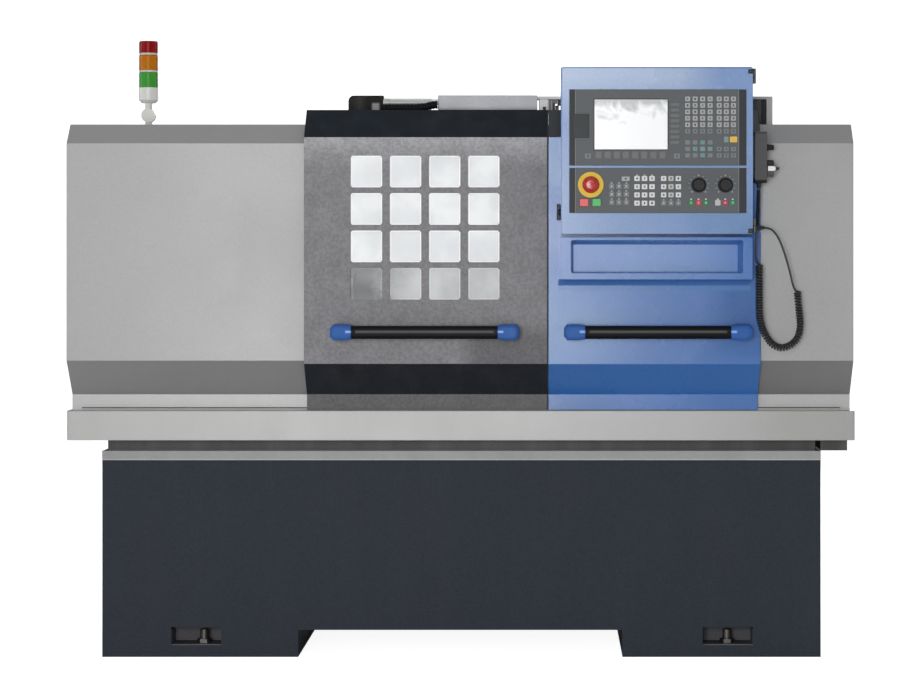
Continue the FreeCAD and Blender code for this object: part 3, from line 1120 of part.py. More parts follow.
stop_button = Body()
stop_button.turned([(0, 0), (stop_stem, 0), (stop_stem, 20), (stop_head, 20), (stop_head, 24),
                    (stop_head - 4, 33), (stop_head - 11, 38), (0, 39)])
stop_back = -bezel_front + 39 - stop_out
stop_button.at(stop_x, stop_back, stop_z, "-y")
node("emergency_stop", stop_button.body)
for label, x in (("stop_button", red_x0), ("start_button", green_x0)):
    push = Body()
    push.pad("XZ_Plane", -bezel_front - 5, 14, ("rounded", (x, button_z0), (x + button_wide, button_z1), 3))
    push.soften("Chamfer", 1.2, lambda e: abs(middle(e).y + float(bezel_front) + 5) < 0.01)
    node(label, push.body)
for label, x in (("feed_dial", feed_x), ("speed_dial", speed_x)):
    dial = Body()
    dial.turned([(0, 0), (dial_shaft, 0), (dial_shaft, 8), (dial_r, 8), (dial_r, 12), (dial_r - 3, 13), (dial_r - 4.5, 26),
                 (dial_r - 6, 28), (0, 28)])
    dial.at(x, -bezel_front + 8 - gap, dial_z, "-y")
    pointer = box((x - 2, -bezel_front - 22, dial_z + 2), (x + 2, -bezel_front - 19 - gap, dial_z + dial_r - 7))
    node(label, fuse(dial.body, pointer))


def key_rows(x0, z1, across, down, pitch_x, pitch_z, wide, high, out=1.4):
    """Membrane keys in a grid that starts at its top left key."""
    keys = []
    for column in range(across):
        for row in range(down):
            x, z = x0 + column * pitch_x, z1 - row * pitch_z
            keys.append(box((x, -bezel_front - out, z - high), (x + wide, -bezel_front, z)))
    return keys


key_wide = dimension("key_wide", 13.6, "width of a display unit's key")
key_high = dimension("key_high", 13, "height of a display unit's key")
upper_key_z = upper_z1 - 19.3
lower_key_z = lower_z1 - 21.8
letter_x = unit_x1 - 167.4
number_x = unit_x1 - 81.2
display_keys = key_rows(letter_x, upper_key_z, 4, 6, 20.5, 17.6, key_wide, key_high)
display_keys += key_rows(number_x, upper_key_z, 3, 6, 19.4, 17.6, key_wide, key_high)
display_keys += key_rows(letter_x, upper_key_z - 119, 4, 3, 20.5, 17.6, key_wide, key_high - 1)
display_keys += key_rows(number_x, upper_key_z - 137, 3, 2, 19.4, 17.6, key_wide, key_high - 1)
display_keys += key_rows(number_x + 19.4, upper_key_z - 109, 1, 1, 1, 1, 13, 16)
display_keys += key_rows(number_x + 36, upper_key_z - 109, 1, 1, 1, 1, 22, 16)
display_keys += key_rows(screen_x1 + 8, screen_z1 - 9.5, 1, 8, 1, 14.7, 24, 9)
display_keys += key_rows(screen_x0 + 2, screen_z0 - 5.8, 8, 1, 24.9, 1, 18, 19.6)
display_keys += key_rows(screen_x0 - 26.5, screen_z0 - 11, 1, 1, 1, 1, 17, 14)
display_keys += key_rows(screen_x1 + 17, screen_z0 - 11, 1, 1, 1, 1, 17, 14)
display_keys.append(box((unit_x0 + 9.6, -bezel_front - 3, upper_z1 - 132.3), (unit_x0 + 53.2, -bezel_front, upper_z1 - 66.9)))
switch_keys = key_rows(unit_x0 + 107.7, lower_key_z - 21, 3, 3, 20, 21.8, 14.4, 14.4)
switch_keys += key_rows(unit_x0 + 142.2, lower_key_z - 1.5, 1, 1, 1, 1, 22, 12)
switch_keys += key_rows(unit_x0 + 176.6, lower_key_z, 3, 4, 20.4, 22.4, 15, 13.6)
switch_keys += key_rows(unit_x0 + 249.4, lower_key_z, 3, 4, 20, 22.4, 14.4, 13.6)
for x in (feed_x, speed_x):
    switch_keys += key_rows(x - 28.2, dial_z - 40.7, 3, 1, 20.2, 1, 15, 15)
node("membrane_keys", group(*display_keys, *switch_keys))

latch_r = dimension("latch_radius", 9, "radius of the box's latch")
latch_rise = dimension("latch_rise", 60, "latch's height above the operator box's underside")
latch_z = box_low + latch_rise
latch_half = dimension("latch_half", 22, "half the height of the latch's grip")
latch = Body()
latch.turned([(0, 0), (latch_r, 0), (latch_r, 5), (latch_r - 2, 7), (0, 7)])
latch.at(box_x0 - gap, -(panel_back - 12), latch_z, "-x")
latch_grip = box((box_x0 - gap - 11, -(panel_back - 12) - 6, latch_z - latch_half),
                 (box_x0 - gap - 6.5, -(panel_back - 12) + 6, latch_z + latch_half))
node("box_latch", fuse(latch.body, latch_grip))

tray_low = dimension("pocket_low", 1064, "underside of the pocket box")
tray_high = dimension("pocket_high", 1180, "top of the pocket box")
pocket_front = dimension("pocket_front", 600, "pocket box's face, ahead of the middle")
pocket_deep = dimension("pocket_deep", 52, "depth of the pocket's recess")
pocket = Body()
pocket.pad("XZ_Plane", -pocket_front, pocket_front - door_face - seat,
           [(box_x0 - 3, tray_low), (box_x1 + 0.5, tray_low), (box_x1 + 0.5, tray_high), (box_x0 - 3, tray_high)])
pocket.pocket("XZ_Plane", -pocket_front - 1, pocket_deep + 1,
              [(box_x0 + 28, tray_low + 18), (box_x1 - 26, tray_low + 18), (box_x1 - 26, tray_high - 9), (box_x0 + 28, tray_high - 9)])
pocket.soften("Fillet", 5, lambda e: runs_along(e, "y") and middle(e).y < -560)
node("pocket_box", pocket.body)

# ---------------------------------------------------------------- handheld unit on the box's right side

hand_x1 = dimension("handheld_right", 842, "handheld unit's face, right of the middle")
hand_half = dimension("handheld_half", 32, "half the handheld unit's width")
hand_round = dimension("handheld_round", 8, "corner radius of the handheld unit")
dial_hole = dimension("hand_shaft", 4, "radius of the handheld unit's shafts")
wheel_z = dimension("hand_wheel_z", 1368, "height of the handheld unit's wheel")
knob_z = dimension("hand_knob_z", 1426.5, "height of the handheld unit's knob")
hand_wheel_r = dimension("hand_wheel_radius", 24, "radius of the handheld unit's wheel")
hand = Body()
hand.pad("YZ_Plane", hand_x0, hand_x1 - hand_x0,
         ("rounded", (-cord_y - hand_half, hand_z0), (-cord_y + hand_half, hand_z1), hand_round))
hand_holes = [rod(dial_hole + fit, 14, (hand_x1 - 12, -cord_y, z), "x") for z in (wheel_z, knob_z)]
sleeve_x = dimension("sleeve_x", 822, "cord's middle where it enters the handheld unit")
sleeve = cone(5, 8, 14, (sleeve_x, -cord_y, hand_z0 - 14), "z")
node("handheld_unit", fuse(cut(hand.body, *hand_holes), sleeve))
hand_wheel = Body()
hand_wheel.turned([(0, 0), (dial_hole, 0), (dial_hole, 10), (hand_wheel_r - 2, 10), (hand_wheel_r, 12), (hand_wheel_r, 28),
                   (hand_wheel_r - 2, 30), (0, 30)])
hand_wheel.at(hand_x1 - 10 + gap, -cord_y, wheel_z, "x")
finger = fuse(rod(5, 8, (hand_x1 + 20 + gap, -cord_y - 14, wheel_z), "x"), rod(3.5, 14, (hand_x1 + 20 + gap, -cord_y - 14, wheel_z), "x"))
node("handheld_wheel", fuse(hand_wheel.body, finger))
hand_knob = Body()
hand_knob.turned([(0, 0), (dial_hole, 0), (dial_hole, 10), (9.5, 10), (9.5, 14), (8, 16), (7, 30), (0, 32)])
hand_knob.at(hand_x1 - 10 + gap, -cord_y, knob_z, "x")
node("handheld_knob", hand_knob.body)

# ---------------------------------------------------------------- curly cord

wire_r = dimension("wire_radius", 2.75, "radius of the cord")
curl_r = dimension("curl_radius", 10.5, "radius of the curls, to the middle of the cord")
curls = dimension("curls", 44, "full turns of the curly stretch")
cord_plane = -float(cord_y)
# The curly stretch hangs in a loop. These are the places of its middle line, (X, Z), from the box side to the handheld side.
loop_line = [(927.6, 1031), (932, 983), (935.8, 942), (932.3, 915), (922, 895), (903, 881), (880, 877),
             (857.8, 888), (838.8, 914), (827, 947), (823.2, 985), (823.2, 1045), (823.2, 1104)]
entry_point, entry_way = Vector(917.3, cord_plane, 1040), Vector(0.2, 0, -0.98)
exit_point, exit_way = Vector(814, cord_plane, 1117), Vector(0, 0, 1)
box_route = [(float(gland_end), -float(gland_y), float(gland_z)), (850, -576, 1205), (866, -574.5, 1193), (882, -571.5, 1165),
             (897, -567.5, 1121), (909.5, -564, 1076), (917.3, cord_plane, 1040)]
hand_route = [(814, cord_plane, 1117), (813.2, cord_plane + 3, 1150), (815.5, cord_plane + 5, 1200),
              (819.5, cord_plane + 3, 1255), (822, cord_plane, float(hand_z0) - 14)]


def wire_section(point, way):
    """A four-sided cut across the cord, with the cord's own area."""
    side = way.cross(Vector(0, 1, 0)).normalize()
    other = way.cross(side).normalize()
    radius = float(wire_r) * math.sqrt(math.pi / 2)
    corners = [point + side * radius * math.cos(math.radians(90 * i)) + other * radius * math.sin(math.radians(90 * i))
               for i in range(4)]
    return Part.makePolygon(corners + corners[:1])


def sweep_wire(path, start, way):
    """The cord's body along a path of lines and arcs; prints its volume against section times length."""
    section = wire_section(start, way)
    solid = path.makePipeShell([section], True, False)
    area = Part.Face(section).Area
    print(f"cord stretch: length {path.Length:.1f}, volume ratio {solid.Volume / (area * path.Length):.4f}")
    return solid


def rounded_route(points):
    """Straight runs joined by the largest tangent arcs that they allow."""
    at = [Vector(*p) for p in points]
    edges, last, radii = [], at[0], []
    for before, corner, after in zip(at, at[1:], at[2:]):
        one, two = (before - corner), (after - corner)
        reach = 0.45 * min(one.Length, two.Length)
        start, end = corner + one.normalize() * reach, corner + two.normalize() * reach
        half_turn = (math.pi - one.getAngle(two)) / 2
        radius = reach / math.tan(half_turn)
        centre = corner + (one + two).normalize() * math.hypot(radius, reach)
        middle_point = centre + (corner - centre).normalize() * radius
        edges += [Part.LineSegment(last, start).toShape(), Part.Arc(start, middle_point, end).toShape()]
        last = end
        radii.append(round(radius, 1))
    edges.append(Part.LineSegment(last, at[-1]).toShape())
    print("cord arc radii", radii)
    return Part.Wire(edges)


def biarc(start, start_way, end, end_way):
    """Two tangent arcs that join two places with given directions."""
    span = end - start
    ways = start_way + end_way
    bend = 2 * (1 - start_way.dot(end_way))
    along = span.dot(ways)
    reach = (-along + math.sqrt(along ** 2 + bend * span.dot(span))) / bend
    first, second = start + start_way * reach, end - end_way * reach
    join = (first + second) * 0.5
    arcs = []
    for a, control, b in ((start, first, join), (join, second, end)):
        chord_middle = (a + b) * 0.5
        rise = control - chord_middle
        half_chord = (b - a).Length / 2
        sag = half_chord * math.tan(math.atan2(rise.Length, half_chord) / 2)
        arcs.append(Part.Arc(a, chord_middle + rise.normalize() * sag, b).toShape())
    return arcs


middle_line = Part.BSplineCurve()
middle_line.interpolate([Vector(x, cord_plane, z) for x, z in loop_line])
line_length = middle_line.length()
full_turns = float(curls) + 0.5


def curl_point(turn):
    """A place on the curls, counted in turns from the box end."""
    along = min(max(turn / full_turns, 0.0), 1.0) * line_length
    u = middle_line.parameterAtDistance(along, middle_line.FirstParameter)
    way = middle_line.tangent(u)[0]
    inward = Vector(way.z, 0, -way.x)
    phase = 2 * math.pi * turn
    return middle_line.value(u) + inward * float(curl_r) * math.cos(phase) + Vector(0, float(curl_r) * math.sin(phase), 0)


def curl_way(turn):
    return (curl_point(turn + 0.002) - curl_point(turn - 0.002)).normalize()


entry_way.normalize()
stub = 2 * float(wire_r)
half_steps = [0.25 + 0.5 * i for i in range(int(round((full_turns - 0.5) * 2)) + 1)]
places = [(entry_point + entry_way * stub, entry_way)]
places += [(curl_point(turn), curl_way(turn)) for turn in half_steps]
places.append((exit_point - exit_way * stub, exit_way))
edges = [Part.LineSegment(entry_point, places[0][0]).toShape()]
for (a, way_a), (b, way_b) in zip(places, places[1:]):
    edges += biarc(a, way_a, b, way_b)
edges.append(Part.LineSegment(places[-1][0], exit_point).toShape())
curl_path = Part.Wire(edges)

samples = [curl_point(0.25 + i / 16) for i in range(int((full_turns - 0.5) * 16))]
least = min((a - b).Length for i, a in enumerate(samples) for b in samples[i + 9:i + 200])
print(f"curls: least gap of the cord to itself {least - 2 * float(wire_r):.2f}, length {curl_path.Length:.1f}")

for label, path, start, way in (
        ("cord_box_lead", rounded_route(box_route), Vector(*box_route[0]), Vector(*box_route[1]) - Vector(*box_route[0])),
        ("cord_curls", curl_path, entry_point, entry_way),
        ("cord_handheld_lead", rounded_route(hand_route), Vector(*hand_route[0]), Vector(*hand_route[1]) - Vector(*hand_route[0]))):
    stretch = doc.addObject("Part::Feature", fresh("Cord"))
    stretch.Shape = sweep_wire(path, start, way)
    node(label, stretch)

# ---------------------------------------------------------------- beacon on the left cabinet's roof

beacon_x = dimension("beacon_x", 910, "beacon's axis, left of the middle")
beacon_y = dimension("beacon_y", 200, "beacon's axis, ahead of the middle")
beacon_r = dimension("beacon_radius", 28, "radius of the beacon's tiers")
pole_r = dimension("pole_radius", 10.4, "radius of the beacon's pole")
pivot_z = dimension("pivot_z", 1534, "height of the beacon's pivot")
disc_r = dimension("disc_radius", 20, "radius of the pivot's discs")
disc_deep = dimension("disc_deep", 13, "thickness of each pivot disc")
pivot_pin = dimension("pivot_pin", 4, "radius of the pivot's pin")
tier_low = dimension("tier_low", 1570, "bottom of the beacon's base")
tier_high = dimension("tier_high", 44, "height of the beacon's two lower lenses")
tier_last = dimension("tier_last", 34, "height of the beacon's top lens")
tier_ring = dimension("tier_ring", 6, "height of the ring between two lenses")
bx, by = -beacon_x, -beacon_y
post = rod(pole_r, pivot_z - disc_r + 4 - cab_top, (bx, by, cab_top), "z")
post_relief = box((bx - 30, by - 30, pivot_z - disc_r - 0.5), (bx + 30, by + seat, pivot_z))
foot_plate = rod(26, 4, (bx, by, cab_top), "z")
rear_disc = rod(disc_r, disc_deep, (bx, by + seat, pivot_z), "y")
pin = rod(pivot_pin, 2 * disc_deep + seat, (bx, by - disc_deep, pivot_z), "y")
node("beacon_foot", fuse(cut(post, post_relief), foot_plate, rear_disc, pin))
front_disc = cut(rod(disc_r, disc_deep, (bx, by - disc_deep, pivot_z), "y"),
                 rod(pivot_pin + fit, disc_deep + 2, (bx, by - disc_deep - 1, pivot_z), "y"))
neck_low = pivot_z + disc_r - 5
upper_neck = cut(rod(pole_r, tier_low - neck_low, (bx, by, neck_low), "z"),
                 box((bx - 30, by - seat, neck_low - 1), (bx + 30, by + 30, pivot_z + disc_r + 0.5)))
drum = Body()
drum.turned([(0, 0), (beacon_r - 8, 0), (beacon_r, 8), (beacon_r, 44), (0, 44)])
drum.at(bx, by, tier_low)
node("beacon_base", fuse(front_disc, upper_neck, drum.body))
lenses = []
for i, high in enumerate((tier_high, tier_high, tier_last)):
    low = tier_low + 44 + i * (tier_high + tier_ring)
    lens = Body()
    lens.turned([(0, 0), (beacon_r - 0.5, 0), (beacon_r - 0.5, high - 2), (beacon_r - 2.5, high), (0, high)])
    lens.at(bx, by, low)
    lenses.append(lens.body)
    if i < 2:
        lenses.append(rod(beacon_r - 1.5, tier_ring, (bx, by, low + high), "z"))
node("beacon_lenses", group(*lenses))

# ---------------------------------------------------------------- electrical cabinet and coolant tank behind

elec_x0 = dimension("electric_left", 1020, "electrical cabinet's left side, left of the middle")
elec_x1 = dimension("electric_right", 440, "electrical cabinet's right side, left of the middle")
elec_z0 = dimension("electric_low", 740, "electrical cabinet's underside")
elec_z1 = dimension("electric_high", 1420, "electrical cabinet's top")
elec_back = dimension("electric_back", 604, "electrical cabinet's open back, behind the middle")
elec_door = dimension("electric_door", 20, "thickness of the electrical cabinet's door")
shell = Body()
shell.pad("XZ_Plane", cab_back, elec_back - cab_back,
          [(-elec_x0, elec_z0), (-elec_x1, elec_z0), (-elec_x1, elec_z1), (-elec_x0, elec_z1)])
shell.pocket("XZ_Plane", cab_back + sheet_metal, elec_back - cab_back,
             [(-elec_x0 + sheet_metal, elec_z0 + sheet_metal), (-elec_x1 - sheet_metal, elec_z0 + sheet_metal),
              (-elec_x1 - sheet_metal, elec_z1 - sheet_metal), (-elec_x0 + sheet_metal, elec_z1 - sheet_metal)])
plate = box((-elec_x0 + 30, cab_back + sheet_metal, elec_z0 + 30), (-elec_x1 - 30, cab_back + 12, elec_z1 - 30))
drives = [box((-elec_x0 + 60 + 130 * i, cab_back + 11, elec_z0 + 380), (-elec_x0 + 160 + 130 * i, cab_back + 150, elec_z0 + 600))
          for i in range(4)]
elec_axis_x = -elec_x0 - 5.5
elec_axis_y = elec_back + 8
cab_eyes, door_eyes = [], []
for level in (elec_z0 + 80, elec_z1 - 130):
    wing = box((-elec_x0 - 2, elec_back - 20, level), (-elec_x0 + 0.1, elec_back, level + 20))
    arm = box((elec_axis_x - 3, elec_back - 6, level), (-elec_x0, elec_back - 1, level + 20))
    riser = box((elec_axis_x - 3, elec_back - 6, level), (elec_axis_x, elec_axis_y, level + 20))
    cab_eyes += [wing, arm, riser, rod(5, 20, (elec_axis_x, elec_axis_y, level), "z"),
                 rod(2.5, 40.5, (elec_axis_x, elec_axis_y, level), "z")]
    door_wing = box((elec_axis_x, elec_axis_y, level + 20.5), (-elec_x0 + 4, elec_axis_y + 3, level + 40.5))
    door_eyes.append(cut(fuse(door_wing, rod(5, 20, (elec_axis_x, elec_axis_y, level + 20.5), "z")),
                         rod(2.5 + fit, 30, (elec_axis_x, elec_axis_y, level + 15), "z")))
node("electrical_cabinet", fuse(shell.body, plate, *drives, *cab_eyes))
leaf = Body()
leaf.pad("XZ_Plane", elec_back + 1, elec_door, [(-elec_x0, elec_z0), (-elec_x1, elec_z0), (-elec_x1, elec_z1), (-elec_x0, elec_z1)])
louvre_first = elec_z0 + louvre_drop
leaf.pocket("XZ_Plane", elec_back + elec_door - 3, 5,
            [(-elec_x0 + louvre_inset, louvre_first), (-elec_x1 - louvre_inset, louvre_first),
             (-elec_x1 - louvre_inset, louvre_first + louvre_slit), (-elec_x0 + louvre_inset, louvre_first + louvre_slit)])
leaf.grid((1, 1), (louvre_rows, louvre_pitch))
lock = rod(14, 15, (-elec_x1 - 40, elec_back + 1 + elec_door, (elec_z0 + elec_z1) / 2), "y")
node("electrical_door", fuse(leaf.body, lock, *door_eyes))

tank_x0 = dimension("tank_left", 470, "coolant tank's left side, right of the middle")
tank_x1 = dimension("tank_right", 1000, "coolant tank's right side, right of the middle")
tank_deep = dimension("tank_deep", 250, "depth of the coolant tank")
tank_high = dimension("tank_high", 240, "height of the coolant tank")
pump_x = dimension("pump_x", 800, "coolant pump's axis, right of the middle")
pump_r = dimension("pump_radius", 56, "radius of the coolant pump")
pump_high = dimension("pump_high", 190, "height of the coolant pump's motor")
pump_flange = dimension("pump_flange", 4, "thickness of the coolant pump's plate")
tank_y0 = base_back + 0.5
pump_y = tank_y0 + tank_deep / 2
pump_base = tank_high + pump_flange
tank = box((tank_x0, tank_y0, 0), (tank_x1, tank_y0 + tank_deep, tank_high))
pump_plate = box((pump_x - pump_r - 20, pump_y - pump_r - 14, tank_high), (pump_x + pump_r + 20, pump_y + pump_r + 14, pump_base))
pump = Body()
pump.turned([(0, 0), (pump_r, 0), (pump_r, pump_high - 10), (pump_r - 16, pump_high), (pump_r - 16, pump_high + 24), (0, pump_high + 24)])
pump.at(pump_x, pump_y, pump_base)
node("coolant_tank", fuse(tank, pump_plate, pump.body))


# ---------------------------------------------------------------- checks and files

doc.recompute()
faults = []
for thing in doc.Objects:
    if any(word in ("Invalid", "Error") for word in thing.State):
        faults.append(f"{thing.Name} ({thing.Label}) is {thing.State}")
for label, thing in nodes.items():
    if thing.Shape.isNull() or not thing.Shape.isValid() or not thing.Shape.Solids:
        faults.append(f"{label} has no valid solid")
if faults:
    raise RuntimeError("; ".join(faults))
for label, thing in nodes.items():
    thing.Shape.exportStep(f"parts/{label}.step")
print(len(nodes), "pieces written")
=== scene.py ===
"""An enclosed turning lathe on its cabinet base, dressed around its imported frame."""

import math
import random

import bmesh
import bpy
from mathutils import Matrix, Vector


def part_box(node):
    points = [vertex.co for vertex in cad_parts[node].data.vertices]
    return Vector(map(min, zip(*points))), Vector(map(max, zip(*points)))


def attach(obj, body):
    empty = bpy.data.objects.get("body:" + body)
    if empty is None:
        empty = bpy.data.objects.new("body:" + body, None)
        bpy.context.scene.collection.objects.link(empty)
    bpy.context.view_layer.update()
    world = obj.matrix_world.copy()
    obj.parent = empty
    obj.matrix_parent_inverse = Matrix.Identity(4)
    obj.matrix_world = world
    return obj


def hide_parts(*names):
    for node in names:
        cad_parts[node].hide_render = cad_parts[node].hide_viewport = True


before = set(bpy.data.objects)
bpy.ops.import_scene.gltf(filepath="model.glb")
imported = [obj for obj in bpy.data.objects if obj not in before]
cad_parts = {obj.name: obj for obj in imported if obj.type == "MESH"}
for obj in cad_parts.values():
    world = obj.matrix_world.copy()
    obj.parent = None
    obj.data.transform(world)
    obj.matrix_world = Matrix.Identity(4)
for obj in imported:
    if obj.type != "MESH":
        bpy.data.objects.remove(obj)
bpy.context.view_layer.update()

# ---- Studio: floor, lamps, surround and camera
# A white floor that turns up into a backdrop, a bright softbox behind the camera, weak fills and a lamp for
# each other side. The surround is white to the camera and dim to the machine. The camera stands square to the
# doors, right of the middle.


def new_material(name):
    """A material with its shader; returns both and the node tree."""
    material = bpy.data.materials.new(name)
    material.use_nodes = True
    return material, material.node_tree, material.node_tree.nodes["Principled BSDF"]


def fill(node, inputs):
    """Gives a node's inputs plain values, colours or the outputs of other nodes."""
    for key, value in inputs.items():
        socket = node.inputs[key]
        if isinstance(value, bpy.types.NodeSocket):
            node.id_data.links.new(value, socket)
        else:
            socket.default_value = (*value[:3], 1) if socket.type == "RGBA" else value


def add_node(tree, kind, inputs=None, **settings):
    """A shader node with its settings and what goes into its inputs."""
    node = tree.nodes.new(kind)
    for key, value in settings.items():
        setattr(node, key, value)
    fill(node, inputs or {})
    return node


def compute(operation, *values):
    """A sum, product or other arithmetic on numbers and sockets."""
    tree = next(value.id_data for value in values if isinstance(value, bpy.types.NodeSocket))
    return add_node(tree, "ShaderNodeMath", dict(enumerate(values)), operation=operation).outputs[0]


def spread(value, low, high, to_low=0.0, to_high=1.0):
    """Stretches a value from one range to another."""
    ends = {"Value": value, "From Min": low, "From Max": high, "To Min": to_low, "To Max": to_high}
    return add_node(value.id_data, "ShaderNodeMapRange", ends).outputs["Result"]


def new_mesh(name, points, faces, material):
    """A mesh from its points and faces, in one material."""
    mesh = bpy.data.meshes.new(name)
    mesh.from_pydata(points, [], faces)
    mesh.materials.append(material)
    return mesh


def new_piece(name, content):
    """A mesh, curve, lamp or camera placed in the scene."""
    piece = bpy.data.objects.new(name, content)
    bpy.context.collection.objects.link(piece)
    return piece


white_floor, floor_tree, floor_shader = new_material("white_floor")
floor_ray = add_node(floor_tree, "ShaderNodeLightPath").outputs["Is Camera Ray"]
fill(floor_shader, {"Base Color": (0.95, 0.95, 0.95), "Roughness": 0.9, "Emission Color": (1, 1, 1),
                    "Emission Strength": compute("MULTIPLY", floor_ray, 0.9)})
floor_half_width, floor_front, wall_back, wall_top, sweep_radius = 22.0, -18.0, 17.0, 14.0, 4.0
sweep_steps = 12
sweep = [(floor_front, 0.0)]
for step in range(sweep_steps + 1):
    turn = math.radians(90 * step / sweep_steps)
    sweep.append((wall_back - sweep_radius * (1 - math.sin(turn)), sweep_radius * (1 - math.cos(turn))))
sweep.append((wall_back, wall_top))
floor_points = [(side * floor_half_width, y, z) for y, z in sweep for side in (-1, 1)]
floor_faces = [(2 * i, 2 * i + 1, 2 * i + 3, 2 * i + 2) for i in range(len(sweep) - 1)]
new_piece("studio_floor", new_mesh("studio_floor", floor_points, floor_faces, white_floor))

for name, place, target, width, height, power in (
        ("front_softbox", (-0.75, -8.8, 1.35), (-0.35, 0, 1.0), 2.1, 2.6, 340),
        ("left_fill", (-6.5, -4.5, 2.4), (-0.6, 0, 0.9), 2.5, 3.0, 60),
        ("right_fill", (6.5, -4.0, 2.4), (0.6, 0, 0.9), 2.0, 3.0, 35),
        ("rear_fill", (1.5, 5.6, 3.2), (0, 0, 0.9), 4.0, 2.5, 230),
        ("ceiling_panel", (0, -0.6, 5.2), (0, -0.4, 0), 5.0, 4.0, 40),
        ("left_side_lamp", (-8.0, 0.6, 1.4), (0, 0.6, 0.9), 2.5, 2.5, 120),
        ("right_side_lamp", (8.0, 0.6, 1.4), (0, 0.6, 0.9), 2.5, 2.5, 120)):
    lamp_data = bpy.data.lights.new(name, "AREA")
    lamp_data.shape = "RECTANGLE"
    lamp_data.size, lamp_data.size_y, lamp_data.energy = width, height, power
    lamp = new_piece(name, lamp_data)
    lamp.location = place
    lamp.rotation_euler = (Vector(target) - Vector(place)).to_track_quat("-Z", "Y").to_euler()

studio_air = bpy.data.worlds.new("studio_air")
studio_air.use_nodes = True
air_tree, light_on_machine = studio_air.node_tree, 0.215
air_ray = add_node(air_tree, "ShaderNodeLightPath").outputs["Is Camera Ray"]
fill(air_tree.nodes["Background"],
     {"Color": (1, 1, 1), "Strength": spread(air_ray, 0.0, 1.0, light_on_machine, 1.0)})
bpy.context.scene.world = studio_air
bpy.context.scene.view_settings.view_transform = "Standard"

camera_data = bpy.data.cameras.new("square_on_camera")
camera_data.lens, camera_data.sensor_width = 98.18, 36.0
camera_data.shift_x, camera_data.shift_y = -0.0924, -0.1033
camera_data.clip_end = 60
camera = new_piece("square_on_camera", camera_data)
camera.location = (0.23505, -7.45, 1.1312)
camera.rotation_euler = (math.radians(90), 0, 0)
bpy.context.scene.camera = camera

# ---- Curly cord of the handheld unit
# A black rubber-sheathed cord leaves the operator box's side, hangs in a loop of tight curls beside the doors,
# and comes up again behind the loop into the handheld unit's sleeve.


def new_group(name, inputs, outputs):
    """An empty node group with float, colour or vector sockets; returns it, its input and its output node."""
    kinds = {"f": "NodeSocketFloat", "c": "NodeSocketColor", "v": "NodeSocketVector"}
    group = bpy.data.node_groups.new(name, "ShaderNodeTree")
    for label, kind, value in inputs:
        socket = group.interface.new_socket(name=label, in_out="INPUT", socket_type=kinds[kind])
        socket.default_value = value
    for label, kind in outputs:
        group.interface.new_socket(name=label, in_out="OUTPUT", socket_type=kinds[kind])
    return group, group.nodes.new("NodeGroupInput"), group.nodes.new("NodeGroupOutput")


def place_group(tree, group, **values):
    """Puts a node group into a material with its own values."""
    node = add_node(tree, "ShaderNodeGroup", node_tree=group)
    fill(node, {key.replace("_", " "): value for key, value in values.items()})
    return node


def blend_colours(share, first, second):
    """Mixes two colours, each a plain colour or a socket, by a share."""
    mixed = {0: share, 6: first, 7: second}
    return add_node(share.id_data, "ShaderNodeMix", mixed, data_type="RGBA").outputs[2]


def raised_by(height, strength):
    """The normal of a surface that a height raises by up to 0.4 mm."""
    raised = {"Height": height, "Strength": strength, "Distance": 0.0004}
    return add_node(height.id_data, "ShaderNodeBump", raised).outputs["Normal"]


fine_grain, grain_in, grain_out = new_group(
    "fine_grain", [("Scale", "f", 300.0)], [("Height", "f"), ("Tone", "f")])
grain_place = add_node(fine_grain, "ShaderNodeTexCoord").outputs["Object"]
grain_noise = add_node(fine_grain, "ShaderNodeTexNoise", {
    "Vector": grain_place, "Scale": grain_in.outputs["Scale"], "Detail": 3.0}).outputs["Fac"]
fill(grain_out, {"Height": grain_noise, "Tone": spread(grain_noise, 0.35, 0.65)})


def moulded(name, colour, roughness, grain_scale=700.0, depth=0.15, shine=0.5):
    """A moulded plastic or rubber: one colour with a fine texture and slightly uneven gloss."""
    material, tree, shader = new_material(name)
    grain = place_group(tree, fine_grain, Scale=grain_scale)
    dark, light = ([min(1.0, gain * part) for part in colour] for gain in (0.82, 1.15))
    fill(shader, {
        "Base Color": blend_colours(grain.outputs["Tone"], dark, light),
        "Roughness": spread(grain.outputs["Tone"], 0.0, 1.0, roughness - 0.06, roughness + 0.08),
        "Normal": raised_by(grain.outputs["Height"], depth), "Specular IOR Level": shine})
    return material


cord_radius, curl_radius, cord_plane = 0.00275, 0.0078, -0.562
curl_turns, points_a_turn = 60, 16
box_lead = [(0.836, -0.576, 1.206), (0.850, -0.576, 1.205), (0.866, -0.5745, 1.193), (0.882, -0.5715, 1.165),
            (0.897, -0.5675, 1.121), (0.9095, -0.564, 1.076), (0.9173, cord_plane, 1.040)]
loop_line = [(0.9276, 1.031), (0.932, 0.983), (0.9358, 0.942), (0.9323, 0.915), (0.922, 0.895), (0.903, 0.881),
             (0.880, 0.877), (0.8578, 0.888), (0.8388, 0.914), (0.827, 0.947), (0.8232, 0.985), (0.8232, 1.045),
             (0.8232, 1.104)]
handheld_lead = [(0.814, cord_plane, 1.117), (0.8132, cord_plane - 0.003, 1.150),
                 (0.8155, cord_plane - 0.005, 1.200), (0.8195, cord_plane - 0.003, 1.255),
                 (0.822, cord_plane, 1.315)]


